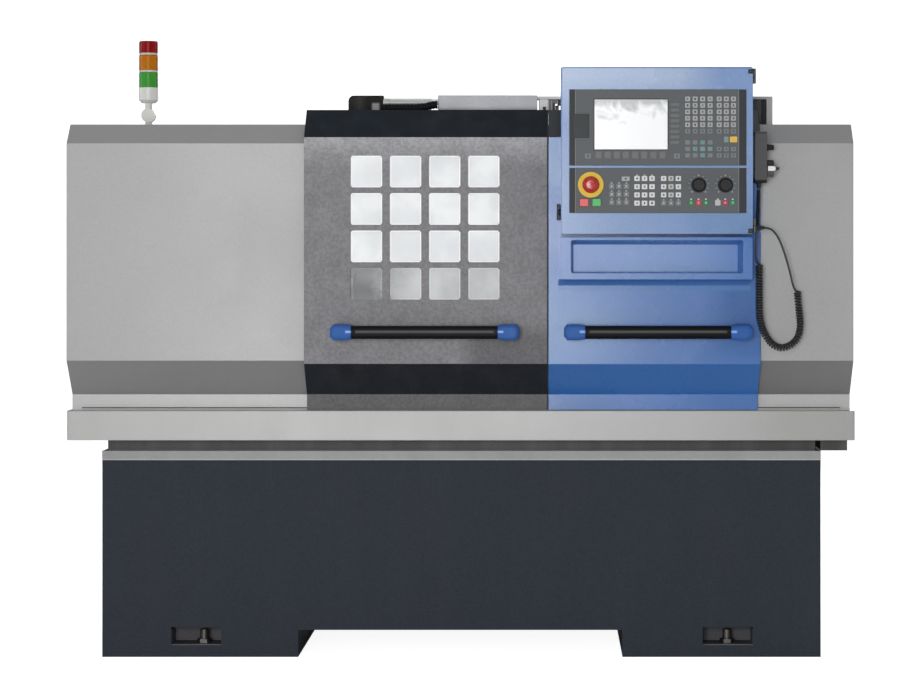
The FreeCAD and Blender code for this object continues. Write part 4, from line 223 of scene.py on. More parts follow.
def along_loop(share):
    """A place and direction on the loop's middle line, by its share of the length, through the given places."""
    spans = [math.dist(a, b) for a, b in zip(loop_line, loop_line[1:])]
    reach = share * sum(spans)
    at = 0
    while at < len(spans) - 1 and reach > spans[at]:
        reach -= spans[at]
        at += 1
    t = reach / spans[at]
    p = [Vector(loop_line[min(max(k, 0), len(loop_line) - 1)]) for k in (at - 1, at, at + 1, at + 2)]
    slope, bend, twist = p[2] - p[0], 2 * p[0] - 5 * p[1] + 4 * p[2] - p[3], 3 * p[1] - p[0] - 3 * p[2] + p[3]
    place = 0.5 * (2 * p[1] + slope * t + bend * t ** 2 + twist * t ** 3)
    return place, (slope + 2 * bend * t + 3 * twist * t ** 2).normalized()


cord_points = list(box_lead)
full_turns = curl_turns + 0.5
corner_reach = curl_radius / math.cos(math.pi / points_a_turn)
for step in range(int(0.25 * points_a_turn), int(full_turns * points_a_turn) - 3):
    turns = step / points_a_turn
    place, way = along_loop(turns / full_turns)
    across = corner_reach * math.cos(2 * math.pi * turns)
    cord_points.append((place.x + way.y * across, cord_plane + corner_reach * math.sin(2 * math.pi * turns),
                        place.y - way.x * across))
cord_points += handheld_lead

cord_curve = bpy.data.curves.new("curly_cord", "CURVE")
cord_curve.dimensions = "3D"
cord_curve.bevel_depth = cord_radius
cord_curve.bevel_resolution = 3
cord_curve.resolution_u = 3
cord_curve.use_fill_caps = True
spline = cord_curve.splines.new("NURBS")
spline.points.add(len(cord_points) - 1)
for point, place in zip(spline.points, cord_points):
    point.co = (*place, 1)
spline.order_u = 3
spline.use_endpoint_u = True
cord_curve.materials.append(moulded("cord_sheath", (0.014, 0.014, 0.015), 0.42))
curly_cord = new_piece("curly_cord", cord_curve)
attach(curly_cord, "right_door")
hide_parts("cord_box_lead", "cord_curls", "cord_handheld_lead")

# ---- Base cabinet, its levelling bolts and the neck above it
# The base is a welded plate cabinet in dark slate powder coat, with an arch between its two feet and a window
# over each levelling bolt, painted lighter inside and with a painted highlight on its sill. The neck is a
# folded band with a recessed channel where the chip tray sits, painted near black as shade under the tray's rim
# and bright along its lower band.

soft_edge, edge_in, edge_out = new_group(
    "soft_edge", [("Radius", "f", 0.0015), ("Height", "f", 0.5), ("Depth", "f", 0.1)],
    [("Normal", "v"), ("Edge", "f")])
edge_round = add_node(soft_edge, "ShaderNodeBevel", {"Radius": edge_in.outputs["Radius"]}, samples=4)
edge_true = add_node(soft_edge, "ShaderNodeNewGeometry")
edge_normals = {0: edge_round.outputs["Normal"], 1: edge_true.outputs["Normal"]}
edge_angle = add_node(soft_edge, "ShaderNodeVectorMath", edge_normals, operation="DOT_PRODUCT")
edge_bump = add_node(soft_edge, "ShaderNodeBump", {
    "Height": edge_in.outputs["Height"], "Strength": edge_in.outputs["Depth"], "Distance": 0.0004,
    "Normal": edge_round.outputs["Normal"]})
fill(edge_out, {"Normal": edge_bump.outputs["Normal"],
                "Edge": spread(edge_angle.outputs["Value"], 0.985, 0.85)})

worn_coat, coat_in, coat_out = new_group(
    "worn_coat",
    [("Paint", "c", (0.5, 0.5, 0.5, 1)), ("Dust", "c", (0.5, 0.48, 0.45, 1)), ("Mottle", "f", 0.2),
     ("Mottle Scale", "f", 6.0), ("Speckle", "f", 0.1), ("Speckle Scale", "f", 260.0),
     ("Dust Amount", "f", 0.1), ("Gloss", "f", 0.4), ("Edge", "f", 0.0), ("Edge Wear", "f", 0.3)],
    [("Colour", "c"), ("Roughness", "f"), ("Height", "f")])
given = coat_in.outputs
coat_place = add_node(worn_coat, "ShaderNodeTexCoord").outputs["Object"]
stretched = add_node(worn_coat, "ShaderNodeMapping", {"Vector": coat_place, "Scale": (22.0, 22.0, 2.2)})
cloud, speck, streak = (add_node(worn_coat, "ShaderNodeTexNoise", inputs).outputs["Fac"] for inputs in (
    {"Vector": coat_place, "Scale": given["Mottle Scale"], "Detail": 5.0, "Roughness": 0.62},
    {"Vector": coat_place, "Scale": given["Speckle Scale"], "Detail": 2.0},
    {"Vector": stretched.outputs["Vector"], "Scale": 1.0, "Detail": 4.0}))
cloud_tone = spread(cloud, 0.3, 0.7, -1.0, 1.0)
speck_tone = spread(speck, 0.35, 0.65, -1.0, 1.0)
tone = compute("ADD", compute("MULTIPLY", cloud_tone, given["Mottle"]),
               compute("MULTIPLY", speck_tone, given["Speckle"]))
toned = add_node(worn_coat, "ShaderNodeVectorMath", operation="SCALE")
fill(toned, {0: given["Paint"], "Scale": compute("ADD", tone, 1.0)})
dust_mask = compute("MULTIPLY", spread(streak, 0.45, 0.75), given["Dust Amount"])
dusty = blend_colours(dust_mask, toned.outputs[0], given["Dust"])
rubbed = add_node(worn_coat, "ShaderNodeVectorMath", operation="SCALE")
fill(rubbed, {0: toned.outputs[0], "Scale": 1.5})
edge_share = compute("MULTIPLY", given["Edge"], given["Edge Wear"])
uneven = compute("MULTIPLY", compute("ADD", cloud_tone, dust_mask), 0.07)
fill(coat_out, {"Colour": blend_colours(edge_share, dusty, rubbed.outputs[0]),
                "Roughness": compute("ADD", given["Gloss"], uneven), "Height": speck})


def object_place(tree):
    """The place on the object: as one vector, and as its parts X, Y and Z."""
    place = add_node(tree, "ShaderNodeTexCoord").outputs["Object"]
    return place, add_node(tree, "ShaderNodeSeparateXYZ", {0: place}).outputs


def within(parts, fade=0.0002, **ranges):
    """1 where the place lies between the low and high end of every given axis, 0 elsewhere, with a fade."""
    mask = 1.0
    for axis, (low, high) in ranges.items():
        rise = spread(parts[axis], low - fade / 2, low + fade / 2)
        fall = spread(parts[axis], high - fade / 2, high + fade / 2, 1.0, 0.0)
        mask = compute("MULTIPLY", mask, compute("MULTIPLY", rise, fall))
    return mask


def painted_metal(name, colour, regions=(), depth=0.12, radius=0.0015, metal=0.0, shine=0.5, dull=None,
                  **values):
    """Powder-coated sheet or machined metal. Each region is a colour with the ranges of X, Y or Z where it
    lies, and dull is the ranges where the surface reflects nothing."""
    material, tree, shader = new_material(name)
    edges = place_group(tree, soft_edge, Radius=radius, Depth=depth)
    surface = place_group(tree, worn_coat, **values)
    parts = object_place(tree)[1] if regions else None
    for other, ranges in regions:
        colour = blend_colours(within(parts, **ranges), colour, other)
    if dull:
        shine = spread(within(parts, **dull), 0.0, 1.0, shine, 0.0)
    fill(surface, {"Paint": colour})
    fill(edges, {"Height": surface.outputs["Height"]})
    fill(surface, {"Edge": edges.outputs["Edge"]})
    fill(shader, {"Base Color": surface.outputs["Colour"], "Roughness": surface.outputs["Roughness"],
                  "Normal": edges.outputs["Normal"], "Metallic": metal, "Specular IOR Level": shine})
    return material


def dress(material, *names):
    """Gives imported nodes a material."""
    for name in names:
        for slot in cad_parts[name].material_slots:
            slot.material = material


def grey(level):
    """A neutral colour."""
    return level, level, level


base_low, base_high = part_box("base_cabinet")
# Inside each window the coat is painted lighter, as painted light falling in, and the sill has a painted
# highlight.
window_spans = ((base_low[0] + 0.190, base_low[0] + 0.340), (base_high[0] - 0.336, base_high[0] - 0.186))
inside_painted_light, sill_painted_highlight = ((0.085, 0.083, 0.094), 0.3, 0.074), ((0.55, 0.56, 0.58), 0.011, 0.0345)
window_painted_light = [(colour, {"X": span, "Y": (base_low[1] + 0.0005, base_low[1] + deep), "Z": (0.030, top)})
                  for span in window_spans for colour, deep, top in (inside_painted_light, sill_painted_highlight)]
dress(painted_metal("slate_coat", (0.026, 0.032, 0.042), window_painted_light, Mottle=0.06, Mottle_Scale=3.0,
                    Speckle=0.10, Dust_Amount=0.03, Dust=(0.10, 0.11, 0.12), Gloss=0.62, Edge_Wear=0.5,
                    shine=0.12), "base_cabinet")
# The neck is painted near black above its lower band, as painted shade under the tray's rim.
band_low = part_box("base_neck")[0][2]
dress(painted_metal("neck_coat", (0.045, 0.046, 0.047),
                    [(grey(0.305), {"Z": (band_low - 0.01, band_low + 0.0265)}),
                     (grey(0.42), {"Z": (band_low - 0.01, band_low + 0.003)})],
                    Mottle=0.12, Speckle=0.05, Dust_Amount=0.06, Gloss=0.5, shine=0.25), "base_neck")
dress(painted_metal("zinc_plate", (0.10, 0.095, 0.090), metal=0.9, Mottle=0.35, Mottle_Scale=40.0, Speckle=0.2,
                    Gloss=0.42, Dust_Amount=0.3, Dust=(0.16, 0.12, 0.09)), "levelling_feet")

# ---- Chip tray
# A long folded tray in light grey, which catches chips and coolant under the doors and drains at its right end.
# The doors' lower rail stands along its front rim.

tray_low, tray_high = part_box("chip_tray")
# The tray is darker towards its right end, and its lower fold is painted near black as shade.
dress(painted_metal("tray_coat", (0.385, 0.387, 0.380),
                    [((0.33, 0.333, 0.322), {"X": (0.78, tray_high[0] + 0.2), "fade": 0.3}),
                     ((0.010, 0.010, 0.008), {"Z": (tray_low[2] - 0.01, tray_low[2] + 0.0335)})],
                    Mottle=0.04, Mottle_Scale=2.5, Speckle=0.03, Dust_Amount=0.12, Dust=(0.33, 0.33, 0.32),
                    Gloss=0.36, radius=0.003), "chip_tray")

# ---- Side cabinets, rear guard and top beam
# Bent steel cabinets at both ends in smooth light grey powder coat: upright skirt, slope, tall face and a top
# slope, the slopes and skirt painted in tones of their own as painted light and shade, darker right of the
# doors. The box beam over the work has the same coat, and the splash guard behind it a paler one.

shell_grey = grey(0.315)
shell_low, shell_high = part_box("left_cabinet")
lower_bend, upper_bend, top_bend = 0.741, 0.839, 1.440
right_of_doors = (0.3, 2.0)
# Painted light and shade: both slopes are painted darker than the face and the skirt lighter, and right of the
# doors all three darker again.
cabinet_painted_shading = []
for left_tone, right_tone, heights in ((0.255, 0.238, (top_bend, shell_high[2] - 0.0005)),
                                       (0.215, 0.166, (lower_bend, upper_bend)),
                                       (0.43, 0.40, (shell_low[2] - 0.01, lower_bend))):
    cabinet_painted_shading += [(grey(left_tone), {"Z": heights}),
                        (grey(right_tone), {"Z": heights, "X": right_of_doors})]
dress(painted_metal("cabinet_coat", shell_grey, cabinet_painted_shading, Mottle=0.05, Mottle_Scale=1.6, Speckle=0.035,
                    Dust_Amount=0.05, Dust=(0.30, 0.30, 0.28), Gloss=0.38, radius=0.003),
      "left_cabinet", "right_cabinet", "top_beam")
dress(painted_metal("guard_coat", (0.5, 0.5, 0.49), Mottle=0.08, Speckle=0.04, Dust_Amount=0.3, Gloss=0.4),
      "rear_guard")

# ---- Door rails
# Two flat steel rails in light grey paint: one on the roof that the doors' shoes straddle, and one along the
# tray that the doors hook over, with a painted shadow along its top in the gap below the doors.

rail_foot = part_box("door_rails")[0][2]
dress(painted_metal("rail_steel", (0.34, 0.34, 0.335),
                    [(grey(0.02), {"Z": (rail_foot + 0.0072, rail_foot + 0.02)})], Mottle=0.08,
                    Mottle_Scale=20.0, Speckle=0.04, Gloss=0.5, depth=0.02, shine=0.15), "door_rails")

# ---- Bed, headstock and main drive
# Grey iron castings with sprayed paint and ground ways. The main motor's pulley drives the hollow spindle by a
# black ribbed belt, and the spindle's nose carries the chuck.

cast_green = (0.16, 0.19, 0.19)
cast_skin = {"Mottle": 0.12, "Mottle_Scale": 9.0, "Speckle": 0.12, "Speckle_Scale": 120.0, "Dust_Amount": 0.3}
dress(painted_metal("painted_casting", cast_green, Gloss=0.42, depth=0.5, radius=0.003, **cast_skin),
      "headstock", "tailstock_body", "cross_slide", "carriage_saddle", "main_motor")
bed_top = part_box("lathe_bed")[1][2]
dress(painted_metal("bed_casting", cast_green, [((0.36, 0.36, 0.35), {"Z": (bed_top - 0.012, bed_top + 0.03)})],
                    Gloss=0.4, depth=0.4, radius=0.002, **cast_skin), "lathe_bed")
dress(painted_metal("ground_steel", grey(0.36), metal=1.0, Mottle=0.08, Mottle_Scale=30.0, Speckle=0.08,
                    Speckle_Scale=600.0, Gloss=0.40, depth=0.015, radius=0.0008),
      "spindle", "feed_screw", "tailstock_quill", "chuck_jaw_1", "chuck_jaw_2", "chuck_jaw_3", "motor_pulley")
dress(painted_metal("black_oxide", (0.026, 0.036, 0.032), metal=0.2, Mottle=0.25, Mottle_Scale=25.0,
                    Speckle=0.2, Gloss=0.34, Edge_Wear=0.9, radius=0.001),
      "chuck_body", "tool_turret", "cutting_tools")
dress(moulded("belt_rubber", grey(0.02), 0.6), "drive_belt")
dress(painted_metal("servo_black", (0.022, 0.022, 0.024), Mottle=0.1, Speckle=0.1, Gloss=0.45), "feed_servo")
dress(painted_metal("bright_alloy", (0.62, 0.62, 0.61), metal=0.9, Mottle=0.08, Mottle_Scale=18.0, Speckle=0.1,
                    Gloss=0.3, radius=0.001), "tailstock_handwheel")

# ---- Left sliding door with its window and handle
# One bent sheet in mill grey hammered paint between black slopes, with sixteen punched windows and a rubber
# edge. A pane with milky protective film lies behind them, and the handle is a black bar held in two blue
# moulded brackets.

mill_grey, navy = (0.190, 0.187, 0.198), (0.003, 0.0075, 0.0135)
door_low, door_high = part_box("left_door")
fold_top, fold_low, skirt_top = 1.457, 0.830, 0.742
top_slope = (navy, {"Z": (fold_top - 0.001, door_high[2] + 0.01)})
# The face is lighter along its top and darker low on its right.
dress(painted_metal(
    "left_door_coat", mill_grey,
    [((0.31, 0.31, 0.325), {"Z": (fold_top - 0.05, fold_top + 0.2), "fade": 0.07}),
     ((0.117, 0.114, 0.121), {"Z": (fold_low - 0.2, fold_low + 0.09), "X": (0.02, 0.5), "fade": 0.05}),
     top_slope, ((0.013, 0.0155, 0.0205), {"Z": (skirt_top, fold_low + 0.001)}),
     ((0.100, 0.099, 0.101), {"Z": (door_low[2] - 0.01, skirt_top)})],
    Mottle=0.17, Mottle_Scale=13.0, Speckle=0.13, Speckle_Scale=130.0, Dust_Amount=0.02, Dust=grey(0.34),
    Gloss=0.46, depth=0.2, radius=0.002, shine=0.15), "left_door")

skirt_y, roof_lip, roof_end = -0.440, -0.448, -0.292
seal_line = [(skirt_y, door_low[2]), (skirt_y, skirt_top), (door_low[1], fold_low), (door_low[1], fold_top),
             (roof_lip, door_high[2]), (roof_end, door_high[2])]
seal_depth = [(0.006, 0.0), (0.006, 0.0025), (0.006, 0.0025), (0.006, -0.0025), (0.0025, -0.006), (0.0, -0.006)]
seal_points = [(x, y + inward * dy, z + inward * dz)
               for x in (door_high[0] - 0.0003, door_high[0] + 0.0038)
               for inward in (0, 1) for (y, z), (dy, dz) in zip(seal_line, seal_depth)]
span = len(seal_line)
seal_faces = [(a + i, a + i + 1, b + i + 1, b + i)
              for a, b in ((0, span), (3 * span, 2 * span), (2 * span, 0), (span, 3 * span))
              for i in range(span - 1)]
seal_faces += [(0, span, 3 * span, 2 * span), (2 * span - 1, 4 * span - 1, 3 * span - 1, span - 1)]
seal_rubber = moulded("seal_rubber", (0.010, 0.010, 0.011), 0.6)
door_edge_seal = new_piece("door_edge_seal", new_mesh("door_edge_seal", seal_points, seal_faces, seal_rubber))
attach(door_edge_seal, "left_door")

pane_film, film_tree, film_shader = new_material("pane_film")
film_place, film_parts = object_place(film_tree)
film_noise = add_node(film_tree, "ShaderNodeTexNoise",
                      {"Vector": film_place, "Scale": 9.0, "Detail": 3.0}).outputs["Fac"]
film_edge, pane_wide = 1.105, 0.0875
pane_left, pane_low, pane_pitch_x, pane_pitch_z = -0.3018, 1.008, 0.1079, 0.1032
clear_corner = spread(film_parts["X"], -0.25, -0.10, 0.15, 0.50)
cover = spread(film_parts["Z"], film_edge - 0.003, film_edge + 0.003, clear_corner, 0.93)
uneven_cover = spread(film_noise, 0.3, 0.7, -0.07, 0.07)
pane_x = compute("WRAP", film_parts["X"], pane_left + pane_pitch_x, pane_left)
pane_z = compute("WRAP", film_parts["Z"], pane_low + pane_pitch_z, pane_low)
film_middle = 1.0
for place, low, high in ((pane_x, pane_left + 0.0045, pane_left + pane_wide - 0.0032),
                         (pane_z, pane_low + 0.0030, pane_low + pane_wide - 0.0026)):
    for test, limit in ("GREATER_THAN", low), ("LESS_THAN", high):
        film_middle = compute("MULTIPLY", film_middle, compute(test, place, limit))
film_cloud = blend_colours(spread(film_noise, 0.45, 0.62), (0.62, 0.64, 0.66), (0.67, 0.69, 0.70))
# Each pane gets a near-white border, and a painted shadow along its left edge.
pane_border = compute("MULTIPLY", compute("SUBTRACT", 1.0, film_middle), 0.8)
film_paint = blend_colours(pane_border, film_cloud, grey(0.93))
shaded_edge = compute("MULTIPLY", compute("LESS_THAN", pane_x, pane_left + 0.0020), 0.6)
fill(film_shader, {"Alpha": compute("ADD", cover, uneven_cover), "Roughness": 0.2,
                   "Base Color": blend_colours(shaded_edge, film_paint, grey(0.10)), "Specular IOR Level": 0.2})
dress(pane_film, "window_glass")

cap_blue, cap_painted_highlight = (0.036, 0.110, 0.345), (0.26, 0.44, 0.86)
bracket_length, grip_z = 0.058, 0.919
for side in ("left", "right"):
    grip_low, grip_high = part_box(f"{side}_door_handle")
    bar_left, bar_right = grip_low[0] + bracket_length, grip_high[0] - bracket_length
    left_cap, right_cap = (grip_low[0] - 0.01, bar_left + 0.0002), (bar_right - 0.0002, grip_high[0] + 0.01)
    # A painted highlight runs along a thin band of the bar and of each bracket's end by the bar.
    painted_highlight_band = {"Z": (grip_z - 0.0010, grip_z + 0.0050), "fade": 0.003}
    bands = [((0.075, 0.078, 0.080), {"X": (bar_left + 0.012, bar_right - 0.012), **painted_highlight_band}),
             (cap_blue, {"X": left_cap}), (cap_blue, {"X": right_cap}),
             (cap_painted_highlight, {"X": (bar_left - 0.015, left_cap[1]), **painted_highlight_band}),
             (cap_painted_highlight, {"X": (right_cap[0], bar_right + 0.015), **painted_highlight_band})]
    dress(painted_metal(f"{side}_grip_plastic", (0.007, 0.007, 0.008), bands, Mottle=0.04, Speckle=0.06,
                        Speckle_Scale=500.0, Gloss=0.36, depth=0.05, radius=0.010, Dust_Amount=0.0,
                        Edge_Wear=0.0, shine=0.05), f"{side}_door_handle")

# ---- Right sliding door, operator box and pocket box
# Blue powder coat over bent sheet: the door, the box for the controls that stands on it with its hinged panel,
# and the open pocket for tools with its thin inner skin. Painted light and shade lie on the door, the panel and
# the pocket, and a painted shadow darkens the door right below the pocket box.

machine_blue, edge_blue = (0.033, 0.127, 0.376), (0.030, 0.115, 0.345)
recess_painted_lit, recess_painted_shade = (0.160, 0.270, 0.49), (0.060, 0.175, 0.46)
fitting_black = (0.012, 0.012, 0.013)
pocket_low, pocket_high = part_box("pocket_box")
panel_low, panel_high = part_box("operator_panel")
pocket_span = (pocket_low[0] - 0.004, pocket_high[0])
pocket_painted_shadow = {"X": pocket_span, "Z": (pocket_low[2] - 0.0170, pocket_low[2])}
pocket_floor = (pocket_low[1] + 0.045, 0.0)
hardware = (fitting_black, {"X": (pocket_high[0] - 0.0002, 1.0)})
blue_skin = {"Mottle": 0.05, "Mottle_Scale": 3.0, "Speckle": 0.04, "Dust_Amount": 0.0, "Gloss": 0.27,
             "Edge_Wear": 0.2}
sheet_blue = {"shine": 0.45, "radius": 0.003, **blue_skin}
# Painted light and shade: a painted reflection lightens the upper and lower left of the face, painted shade
# darkens its right side, and a painted shadow lies under the pocket box in two bands, the nearer without gloss.
# The left of the skirt is darker.
dress(painted_metal(
    "blue_coat", machine_blue,
    [((0.105, 0.215, 0.410), {"X": (0.2, 0.31), "Z": (1.33, fold_top), "fade": 0.10}),
     ((0.066, 0.178, 0.402), {"X": (0.1, 0.44), "Z": (fold_low, 1.02), "fade": 0.14}),
     ((0.001, 0.083, 0.305), {"X": (0.70, 1.0), "Z": (fold_low + 0.04, 1.25), "fade": 0.08}),
     ((0.015, 0.125, 0.350), {"X": pocket_span, "Z": (pocket_low[2] - 0.031, pocket_low[2]), "fade": 0.005}),
     ((0.055, 0.135, 0.360), pocket_painted_shadow), (machine_blue, {"Z": (0.0, fold_low)}),
     ((0.006, 0.093, 0.310), {"X": (0.1, 0.42), "Z": (0.0, skirt_top), "fade": 0.08}), top_slope],
    dull=pocket_painted_shadow, **sheet_blue), "right_door")
# The pocket's floor is painted lighter as painted light, most on its left.
dress(painted_metal("pocket_coat", machine_blue,
                    [((0.070, 0.185, 0.47), {"Y": pocket_floor}),
                     (recess_painted_lit, {"X": (0.40, 0.72), "Y": pocket_floor, "fade": 0.15})], **sheet_blue),
      "pocket_box")
dress(painted_metal("box_coat", machine_blue, [hardware], **sheet_blue), "operator_box")
# Painted light and shade on the panel: a painted highlight at its top left, lighter towards its right and
# darker at its lower right. It is darker along its left and top edges.
dress(painted_metal(
    "panel_coat", (0.108, 0.203, 0.41),
    [((0.175, 0.275, 0.51), {"X": (0.62, 1.0), "fade": 0.35}),
     ((0.310, 0.400, 0.57), {"X": (0.0, 0.66), "Z": (panel_high[2] - 0.085, 2.0), "fade": 0.12}),
     ((0.102, 0.202, 0.40), {"X": (0.62, 1.0), "Z": (0.0, panel_low[2] + 0.10), "fade": 0.12}),
     (edge_blue, {"X": (0.0, panel_low[0] + 0.0036)}), (edge_blue, {"Z": (panel_high[2] - 0.0032, 2.0)}),
     hardware], shine=0.45, radius=0.002, **blue_skin), "operator_panel")

rim = ((pocket_low[0] + 0.0312, pocket_low[2] + 0.0182), (pocket_high[0] - 0.0267, pocket_high[2] - 0.0092))
floor_rim = ((rim[0][0] + 0.006, rim[0][1] + 0.003), (rim[1][0] - 0.011, rim[1][1] - 0.011))
lining_points = [(x, y, z)
                 for (low, high), y in ((rim, pocket_low[1] + 0.0015), (floor_rim, pocket_low[1] + 0.0515))
                 for x, z in (low, (high[0], low[1]), high, (low[0], high[1]))]
lining_faces = [(i, (i + 1) % 4, 4 + (i + 1) % 4, 4 + i) for i in range(4)]
# Painted light and shade in the lining: lit on its left and bottom walls, shaded on its top and right walls.
lining_coat = painted_metal("lining_coat", recess_painted_shade,
                            [(recess_painted_lit, {"X": (rim[0][0] - 0.001, floor_rim[0][0] + 0.0002)}),
                             (recess_painted_lit, {"Z": (rim[0][1] - 0.001, floor_rim[0][1] + 0.0002)})],
                            shine=0.3, **blue_skin)
pocket_lining = new_piece("pocket_lining", new_mesh("pocket_lining", lining_points, lining_faces, lining_coat))
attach(pocket_lining, "right_door")

# ---- Control units, screen and membrane keys
# Two grey front plates set into the panel: the display unit with its smudged screen, soft keys and a black
# cover, and the switch unit under it. Each membrane key is a rounded tablet with a small plain mark; some have
# a lamp above, and a few are framed or filled with colour.

unit_low, unit_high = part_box("control_units")
screen_low, screen_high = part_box("display_screen")
plate_left, plate_right = unit_low[0] + 0.008, unit_high[0] - 0.008
switch_top, display_top = unit_low[2] + 0.1223, unit_high[2] + 0.0003
plate_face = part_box("membrane_keys")[1][1]


def middle_of(node):
    """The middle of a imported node, seen from the front (X, Z)."""
    low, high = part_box(node)
    return (low[0] + high[0]) / 2, (low[2] + high[2]) / 2


unit_plastic, unit_tree, unit_shader = new_material("unit_plastic")
unit_parts = object_place(unit_tree)[1]
unit_grain = place_group(unit_tree, fine_grain, Scale=900.0).outputs
unit_paint = blend_colours(unit_grain["Tone"], (0.082, 0.090, 0.096), (0.104, 0.114, 0.120))
margin_grey, seam_grey = (0.025, 0.026, 0.029), (0.26, 0.27, 0.28)
whole_height = (unit_low[2] - 0.01, unit_high[2] + 0.01)
surround_x, surround_z = ((screen_low[k] - 0.0022, screen_high[k] + 0.0022) for k in (0, 2))
for x_range, z_range, paint in (
        ((plate_left - 0.02, plate_left + 0.0155), whole_height, margin_grey),
        ((plate_right - 0.0205, plate_right + 0.02), whole_height, margin_grey),
        ((plate_left + 0.0155, plate_left + 0.0165), whole_height, seam_grey),
        ((plate_right - 0.0215, plate_right - 0.0205), whole_height, seam_grey),
        (surround_x, surround_z, fitting_black)):
    on_plate = within(unit_parts, X=x_range, Y=(plate_face - 0.05, plate_face + 0.004), Z=z_range)
    unit_paint = blend_colours(on_plate, unit_paint, paint)
stop_x, stop_z = (compute("SUBTRACT", unit_parts[axis], middle)
                  for axis, middle in zip("XZ", middle_of("emergency_stop")))
stop_reach = compute("SQRT", compute("ADD", compute("MULTIPLY", stop_x, stop_x),
                                     compute("MULTIPLY", stop_z, stop_z)))
on_collar = compute("MULTIPLY", compute("LESS_THAN", stop_reach, 0.0351),
                    compute("LESS_THAN", unit_parts["Y"], plate_face - 0.0002))
fill(unit_shader, {
    "Base Color": blend_colours(on_collar, unit_paint, (0.70, 0.46, 0.045)), "Roughness": 0.48,
    "Normal": raised_by(unit_grain["Height"], 0.2), "Specular IOR Level": 0.22})
dress(unit_plastic, "control_units")

screen_film, screen_tree, screen_shader = new_material("screen_film")
screen_place, screen_parts = object_place(screen_tree)
screen_noise = add_node(screen_tree, "ShaderNodeTexNoise", {
    "Vector": screen_place, "Scale": 16.0, "Detail": 4.0, "Distortion": 1.4}).outputs["Fac"]
screen_rise = spread(screen_parts["Z"], screen_low[2] + 0.05, screen_high[2], 0.0, 0.5)
screen_side = within(screen_parts, 0.06, X=(screen_high[0] - 0.040, 1.0),
                     Z=(screen_low[2] + 0.080, screen_high[2] - 0.035))
screen_haze = compute("MAXIMUM", screen_rise, compute("MULTIPLY", 0.46, screen_side))
screen_smudge = spread(compute("ADD", screen_noise, screen_haze), 0.74, 0.96, 0.0, 0.7)
fill(screen_shader, {
    "Base Color": blend_colours(screen_smudge, (0.93, 0.94, 0.95), (0.33, 0.34, 0.36)),
    "Roughness": 0.16})
dress(screen_film, "display_screen")

key_inks = [("key_light", (0.35, 0.355, 0.36)), ("key_dim", (0.175, 0.18, 0.185)),
            ("key_dark", (0.135, 0.135, 0.138)), ("key_cover", (0.013, 0.016, 0.020)),
            ("key_white", grey(0.64)), ("key_pale", grey(0.45)), ("key_cyan", (0.05, 0.36, 0.34)),
            ("key_teal", (0.17, 0.26, 0.27)), ("key_yellow", (0.74, 0.44, 0.05)),
            ("key_green", (0.015, 0.20, 0.075)), ("key_red", (0.52, 0.035, 0.055)),
            ("key_magenta", (0.42, 0.03, 0.08)), ("key_mark", (0.055, 0.058, 0.062)),
            ("key_print", (0.42, 0.43, 0.44))]
ink_number = {name: number for number, (name, colour) in enumerate(key_inks)}
key_draft = bmesh.new()
mark_choice = random.Random(11)
thin_edge = 0.00005


def raise_plate(low, high, out, corner, ink, edge=0.0006, back=0.0):
    """A rounded tablet on the plates between two corners (X, Z), with a bevelled front edge."""
    rings = []
    for inset, y in ((0.0, plate_face - back), (0.0, plate_face - out + edge), (edge, plate_face - out)):
        ring = []
        for right, top, start in ((1, 0, 270), (1, 1, 0), (0, 1, 90), (0, 0, 180)):
            x = high[0] - corner if right else low[0] + corner
            z = high[1] - corner if top else low[1] + corner
            for turn in (0, 30, 60, 90):
                angle = math.radians(start + turn)
                ring.append(key_draft.verts.new((x + (corner - inset) * math.cos(angle), y,
                                                 z + (corner - inset) * math.sin(angle))))
        rings.append(ring)
    for ring, following in zip(rings, rings[1:]):
        for i, place in enumerate(ring):
            nxt = (i + 1) % len(ring)
            side = key_draft.faces.new((place, ring[nxt], following[nxt], following[i]))
            side.material_index = ink_number[ink]
    key_draft.faces.new(rings[-1]).material_index = ink_number[ink]


def key_block(x0, z1, size, ink, mark=None, lamp=None, across=1, down=1, pitch=(0.0, 0.0)):
    """Keys in a grid from the top left corner of the first, with size and pitch in millimetres. Each may have a
    small plain mark, and a lamp above it."""
    for column, row in ((c, r) for c in range(across) for r in range(down)):
        left, top = x0 + 0.001 * column * pitch[0], z1 - 0.001 * row * pitch[1]
        right, low = left + 0.001 * size[0], top - 0.001 * size[1]
        raise_plate((left, low), (right, top), 0.0016, 0.0018, ink)
        x, z = (left + right) / 2, (low + top) / 2
        if mark:
            tall, broad = mark_choice.choice((0.0030, 0.0024)), mark_choice.choice((0.0024, 0.0018))
            raise_plate((x - broad, z - tall), (x + broad, z + tall), 0.0018, 0.0006, mark, thin_edge, 0.0015)
            if mark_choice.random() < 0.6:
                raise_plate((x - broad + 0.0012, z - tall + 0.0012), (x + broad - 0.0012, z + 0.0002),
                            0.0019, 0.0003, ink, thin_edge, 0.0017)
        if lamp:
            raise_plate((x - 0.0027, top + 0.0003), (x + 0.0027, top + 0.0040), 0.0016, 0.0014, lamp)


letters, numbers = plate_right - 0.1674, plate_right - 0.0812
letter_pitch, number_pitch, row_pitch = 20.5, 19.4, 17.6
display_row, switch_row = display_top - 0.0193, switch_top - 0.0218
axis_row, letter_size, low_size = display_row - 0.119, (13.6, 13), (13.6, 12)
for x0, across, pitch in ((letters, 4, letter_pitch), (numbers, 3, number_pitch)):
    key_block(x0, display_row, letter_size, "key_light", "key_mark", None, across, 5, (pitch, row_pitch))
    key_block(x0, display_row - 0.088, letter_size, "key_dim", "key_mark", None, across, 1, (pitch, 1))


def axis_key(column, row):
    """The top left corner of a key in the block of axis keys."""
    return letters + 0.001 * letter_pitch * column, axis_row - 0.001 * row_pitch * row


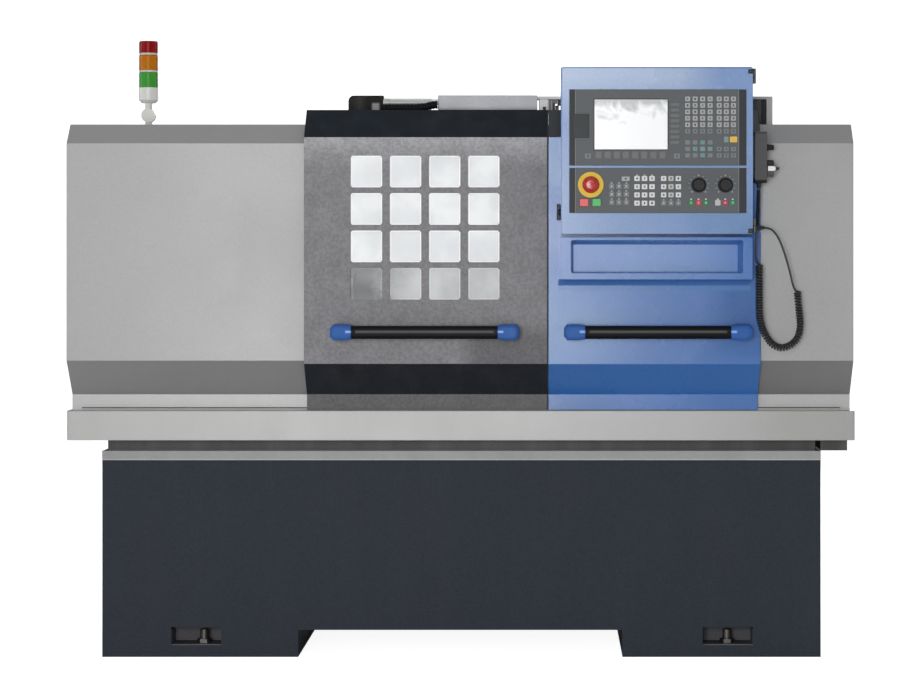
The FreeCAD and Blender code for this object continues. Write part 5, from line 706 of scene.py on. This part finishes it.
for place in ((c, r) for c in range(4) for r in range(3) if (c, r) != (2, 1)):
    key_block(*axis_key(*place), low_size, "key_dim")
for place in ((2, 0), (1, 1), (3, 1), (2, 2)):
    left, top = axis_key(*place)
    raise_plate((left + 0.0018, top - 0.0102), (left + 0.0118, top - 0.0018),
                0.0018, 0.0010, "key_cyan", thin_edge, 0.0015)
    raise_plate((left + 0.0040, top - 0.0082), (left + 0.0096, top - 0.0038),
                0.0020, 0.0008, "key_dim", thin_edge, 0.0016)
key_block(*axis_key(2, 1), low_size, "key_teal")
key_block(numbers, display_row - 0.137, low_size, "key_dim", "key_mark", None, 3, 2, (number_pitch, row_pitch))
key_block(numbers + 0.0194, display_row - 0.109, (13, 16), "key_teal")
key_block(numbers + 0.036, display_row - 0.109, (20, 16), "key_yellow", "key_print")
key_block(screen_high[0] + 0.008, screen_high[2] - 0.0095, (24, 9), "key_dark", down=8, pitch=(1, 14.7))
key_block(screen_low[0] + 0.002, screen_low[2] - 0.0058, (18, 19.6), "key_dark", across=8, pitch=(24.9, 1))
key_block(screen_low[0] - 0.0265, screen_low[2] - 0.011, (17, 14), "key_dim", "key_mark")
key_block(screen_high[0] + 0.017, screen_low[2] - 0.011, (17, 14), "key_dim", "key_mark")
raise_plate((plate_left + 0.0096, display_top - 0.1323), (plate_left + 0.0532, display_top - 0.0669),
            0.003, 0.002, "key_cover")
select_left, mode_left, jog_left = plate_left + 0.1077, plate_left + 0.1766, plate_left + 0.2494
square_size, mode_size, jog_size = (14.4, 14.4), (15, 13.6), (14.4, 13.6)
key_block(select_left, switch_row - 0.021, square_size, "key_dim", "key_print", "key_light", 3, 3, (20, 21.8))
key_block(plate_left + 0.1422, switch_row - 0.0015, (22, 12), "key_light", "key_mark")
key_block(mode_left, switch_row, mode_size, "key_white", "key_mark", "key_pale", 3, 1, (20.4, 1))
key_block(mode_left, switch_row - 0.0224, mode_size, "key_white", "key_mark", None, 3, 3, (20.4, 22.4))
for column, ink in enumerate(("key_white", "key_pale", "key_white")):
    key_block(jog_left + 0.02 * column, switch_row, jog_size, ink, "key_mark", None, 1, 3, (1, 22.4))
key_block(jog_left, switch_row - 0.0672, jog_size, "key_dim", "key_print", "key_light", 3, 1, (20, 1))
for dial, inks in (("feed_dial", ("key_green", "key_red", "key_green")),
                   ("speed_dial", ("key_pale", "key_magenta", "key_green"))):
    dial_x, dial_z = middle_of(dial)
    for column, ink in enumerate(inks):
        key_block(dial_x - 0.0282 + 0.0202 * column, dial_z - 0.0407, (15, 15), ink, "key_print", "key_white")
for dial_x, dial_z in (middle_of("feed_dial"), middle_of("speed_dial")):
    for number in range(11):
        angle = math.radians(225 - 27 * number)
        x, z = dial_x + 0.0262 * math.cos(angle), dial_z + 0.0262 * math.sin(angle)
        size = 0.0011 if number % 5 else 0.0018
        raise_plate((x - size, z - size), (x + size, z + size), 0.0003, size * 0.8, "key_print", thin_edge)

key_mesh = bpy.data.meshes.new("panel_keys")
key_draft.to_mesh(key_mesh)
key_draft.free()
for name, colour in key_inks:
    key_mesh.materials.append(moulded(name, colour, 0.42, 1100.0, 0.08, 0.25))
panel_keys = new_piece("panel_keys", key_mesh)
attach(panel_keys, "panel")
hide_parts("membrane_keys")

# ---- Emergency stop, push buttons and dials
# A red mushroom head over its yellow collar, one red and one green push button whose lit faces are a painted
# glow in bright colours, and two ribbed black dials with a pointer.

dress(moulded("red_plastic", (0.42, 0.020, 0.018), 0.26), "emergency_stop")
# The push buttons' faces carry a painted glow in bright colours; they are no lamps.
dress(moulded("red_lens", (0.62, 0.062, 0.060), 0.3, shine=0.3), "stop_button")
dress(moulded("green_lens", (0.032, 0.38, 0.085), 0.3, shine=0.3), "start_button")
dress(moulded("dial_plastic", (0.018, 0.018, 0.019), 0.45, shine=0.15),
      "feed_dial", "speed_dial", "box_latch", "handheld_knob")

# ---- Latch plate and hinge leaves of the panel
# Small black plates with softened edges: two screwed beside the latch on the box, and two hinge leaves that
# fold over the panel's right edge, each with one bright screw.


def cuboids(name, body, inks, boxes):
    """Bevelled blocks on one body as one piece. Each is its low and high corner and the number of its ink."""
    mesh, draft = bpy.data.meshes.new(name), bmesh.new()
    for low, high, ink in boxes:
        corners = bmesh.ops.create_cube(draft, size=1.0)["verts"]
        for corner in corners:
            corner.co = Vector([low[k] if corner.co[k] < 0 else high[k] for k in range(3)])
        for side in {face for corner in corners for face in corner.link_faces}:
            side.material_index = ink
        edges = list({edge for corner in corners for edge in corner.link_edges})
        bevel = 0.06 * min(b - a for a, b in zip(low, high)) + 0.0003
        bmesh.ops.bevel(draft, geom=edges, affect="EDGES", offset=bevel, segments=2, profile=0.5)
    draft.to_mesh(mesh)
    draft.free()
    for number, colour in enumerate(inks):
        mesh.materials.append(moulded(f"{name}_{number + 1}", colour, 0.45, shine=0.25))
    piece = new_piece(name, mesh)
    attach(piece, body)


latch_low, latch_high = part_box("box_latch")
latch_z, latch_y = (latch_low[2] + latch_high[2]) / 2, (latch_low[1] + latch_high[1]) / 2
latch_left, latch_right = latch_low[0] + 0.0052, latch_high[0] + 0.0003
cuboids("latch_plate", "right_door", [fitting_black],
        [((latch_left, latch_y - 0.006, low), (latch_right, latch_y + 0.006, high), 0)
         for low, high in ((latch_z + 0.0098, latch_z + 0.0215), (latch_z - 0.0215, latch_z - 0.0098))])
leaf_x, leaf_y = pocket_high[0] - 0.0008, panel_low[1]
cuboids("hinge_leaves", "panel", [fitting_black, grey(0.20)],
        [((leaf_x - 0.0125, leaf_y - 0.0015, z), (leaf_x, leaf_y + 0.0003, z + 0.0125), 0)
         for z in (panel_high[2] - 0.0185, panel_low[2] + 0.0020)]
        + [((leaf_x - 0.0075, leaf_y - 0.0021, z), (leaf_x - 0.0050, leaf_y - 0.0013, z + 0.0025), 1)
           for z in (panel_high[2] - 0.0135, panel_low[2] + 0.0070)])

# ---- Handheld unit
# A small dark grey case held to the operator box's side, with a black selector knob and a pulse wheel turned by
# a bright crank. The case's end cap is black.

hand_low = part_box("handheld_unit")[0]
dress(painted_metal("handheld_plastic", (0.058, 0.059, 0.061),
                    [(fitting_black, {"Z": (hand_low[2] - 0.01, hand_low[2] + 0.022)})],
                    Mottle=0.04, Speckle=0.12, Speckle_Scale=700.0, Dust_Amount=0.0, Gloss=0.5, depth=0.2,
                    shine=0.25), "handheld_unit")
wheel_low, wheel_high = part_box("handheld_wheel")
crank_low, crank_high = ((wheel_low[2] + wheel_high[2]) / 2 + half for half in (-0.0065, 0.0065))
dress(painted_metal("pulse_wheel", (0.016, 0.016, 0.017),
                    [(grey(0.085), {"Z": (wheel_low[2] - 0.01, crank_low)}),
                     ((0.80, 0.80, 0.79), {"X": (wheel_high[0] - 0.0310, wheel_high[0] - 0.0100),
                                           "Z": (crank_low, crank_high)})],
                    Mottle=0.04, Speckle=0.1, Dust_Amount=0.0, Gloss=0.3, radius=0.001, shine=0.4),
      "handheld_wheel")

# ---- Cable duct and what lies on the roof
# A light grey duct on posts with a black cable chain inside, then its folded lid, a silver tie bar with plugs
# and clamps, a ribbed black hose and the black cable block. A thinner ribbed sleeve of the same plastic guards
# the cord under the handheld unit.

duct_high, lid_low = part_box("cable_duct")[1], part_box("duct_cover")[0]
chain_left, chain_right, chain_top = 0.632, 0.858, duct_high[2] - 0.0082
lid_end = lid_low[0] - 0.0001
dress(painted_metal("duct_coat", (0.40, 0.40, 0.405),
                    [(fitting_black, {"X": (chain_left, chain_right), "Z": (1.0, chain_top)}),
                     ((0.45, 0.46, 0.46), {"X": (-1.0, lid_end)}),
                     (grey(0.80), {"X": (lid_low[0] - 0.018, lid_end)})],
                    Mottle=0.05, Speckle=0.05, Dust_Amount=0.05, Gloss=0.34, radius=0.001), "cable_duct")
dress(painted_metal("lid_coat", (0.33, 0.34, 0.37), Mottle=0.08, Mottle_Scale=14.0, Speckle=0.06, Gloss=0.36,
                    Dust_Amount=0.1), "duct_cover")
gland_low, gland_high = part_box("cable_gland_block")
# A brownish stripe down the left part of the block is a painted highlight.
gland_plastic = painted_metal(
    "gland_plastic", grey(0.006),
    [((0.035, 0.030, 0.028), {"X": (gland_low[0] + 0.022, gland_low[0] + 0.042), "fade": 0.02}),
     (grey(0.30), {"X": (gland_high[0] - 0.032, gland_high[0] - 0.012),
                   "Z": (gland_low[2] + 0.046, gland_low[2] + 0.070), "fade": 0.006})],
    Mottle=0.1, Speckle=0.05, Dust_Amount=0.0, Gloss=0.5, shine=0.12)
dress(gland_plastic, "cable_gland_block")


def ribbed_hose(name, body, plane, path, radius, rib, pitch, sides=18):
    """A ribbed conduit on a body, along places in one upright plane (X, Z), closed at both ends."""
    middle, travelled = [], 0.0
    ends = [Vector(p) for p in path]
    for start, end in zip(ends, ends[1:]):
        way, length = (end - start).normalized(), (end - start).length
        while travelled < length:
            middle.append((start + way * travelled, way))
            travelled += pitch / 2
        travelled -= length
    points = []
    for number, (place, way) in enumerate(middle):
        reach = radius + (rib if number % 4 in (1, 2) else 0.0)
        for angle in (2 * math.pi * side / sides for side in range(sides)):
            points.append((place.x - way.y * reach * math.sin(angle), plane + reach * math.cos(angle),
                           place.y + way.x * reach * math.sin(angle)))
    faces = [(ring + side, ring + (side + 1) % sides, ring + sides + (side + 1) % sides, ring + sides + side)
             for ring in range(0, sides * (len(middle) - 1), sides) for side in range(sides)]
    faces += [tuple(range(sides - 1, -1, -1)), tuple(range(sides * len(middle) - sides, sides * len(middle)))]
    hose = new_piece(name, new_mesh(name, points, faces, gland_plastic))
    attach(hose, body)


ribbed_hose("roof_conduit", "machine", -0.3065,
            [(-0.232, 1.5495), (-0.135, 1.5495), (-0.105, 1.5525), (-0.0850, 1.5580), (-0.0715, 1.5592)],
            0.0105, 0.0012, 0.0052)
ribbed_hose("cord_sleeve", "right_door", -0.5655, [(0.8207, 1.309), (0.8192, 1.255), (0.8168, 1.212)],
            0.0044, 0.0005, 0.0040)

duct_floor, duct_back, bar_top = 1.5375, -0.262, 1.5768
cuboids("duct_fittings", "machine", [fitting_black, (0.72, 0.72, 0.71), (0.16, 0.15, 0.14)],
        [((0.2180, -0.282, duct_floor), (0.2450, duct_back, bar_top), 1),
         ((0.2285, -0.2865, 1.5455), (0.2375, -0.281, 1.5545), 0),
         ((0.2455, -0.280, duct_floor), (0.2545, duct_back, bar_top), 2),
         ((0.2550, -0.284, 1.5420), (0.2640, duct_back, 1.5640), 0),
         ((0.2550, -0.276, 1.5640), (0.2700, duct_back, bar_top), 2),
         ((0.2645, -0.282, duct_floor), (0.2745, duct_back, 1.5580), 2),
         ((0.2660, -0.284, 1.5500), (0.2730, -0.280, 1.5570), 0),
         ((0.2705, -0.281, 1.5585), (0.2850, duct_back, bar_top), 0),
         ((0.8542, -0.275, 1.4953), (0.8678, -0.239, 1.5758), 0)])

# ---- Signal beacon
# Red over amber over green translucent tiers with thin rings between them, on a light grey base and a pole that
# tilts about a pivot.

dress(moulded("beacon_white", (0.63, 0.63, 0.60), 0.4), "beacon_base", "beacon_foot")
tier, last_tier, ring = 0.044, 0.034, 0.006
lens_plastic, lens_tree, lens_shader = new_material("lens_plastic")
lens_parts = object_place(lens_tree)[1]
lens_colour, level = (0.50, 0.49, 0.46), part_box("beacon_lenses")[0][2]
for glow, high in (((0.042, 0.270, 0.034), tier), ((0.42, 0.132, 0.0003), tier),
                   ((0.225, 0.002, 0.003), last_tier)):
    on_tier = within(lens_parts, Z=(level - 0.0002, level + high + 0.0002))
    lens_colour = blend_colours(on_tier, lens_colour, glow)
    level += high + ring
# Painted shade darkens the lenses where they turn away from the camera.
facing = add_node(lens_tree, "ShaderNodeLayerWeight", {"Blend": 0.35}).outputs["Facing"]
lens_colour = blend_colours(spread(facing, 0.25, 0.85, 0.0, 0.8), lens_colour, (0.006, 0.004, 0.004))
fill(lens_shader, {"Base Color": lens_colour, "Roughness": 0.3, "Specular IOR Level": 0.10})
dress(lens_plastic, "beacon_lenses")

# ---- Electrical cabinet and coolant tank at the back
# The same light grey coat as the side cabinets, with a black door lock and hinges. The coolant pump is dark
# cast iron on its steel plate.

rear_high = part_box("electrical_door")[1]
tank_low, tank_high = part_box("coolant_tank")
rear_dust = (0.3, 0.3, 0.28)
dress(painted_metal("rear_coat", shell_grey, [(fitting_black, {"Y": (rear_high[1] - 0.0148, 1.0)})],
                    Mottle=0.06, Speckle=0.04, Dust_Amount=0.1, Dust=rear_dust, Gloss=0.4, radius=0.003),
      "electrical_cabinet", "electrical_door")
dress(painted_metal("tank_coat", shell_grey,
                    [((0.030, 0.036, 0.044), {"Z": (tank_low[2] + 0.2402, tank_high[2] + 0.01)})],
                    Mottle=0.08, Speckle=0.06, Dust_Amount=0.15, Dust=rear_dust, Gloss=0.42, radius=0.003),
      "coolant_tank")
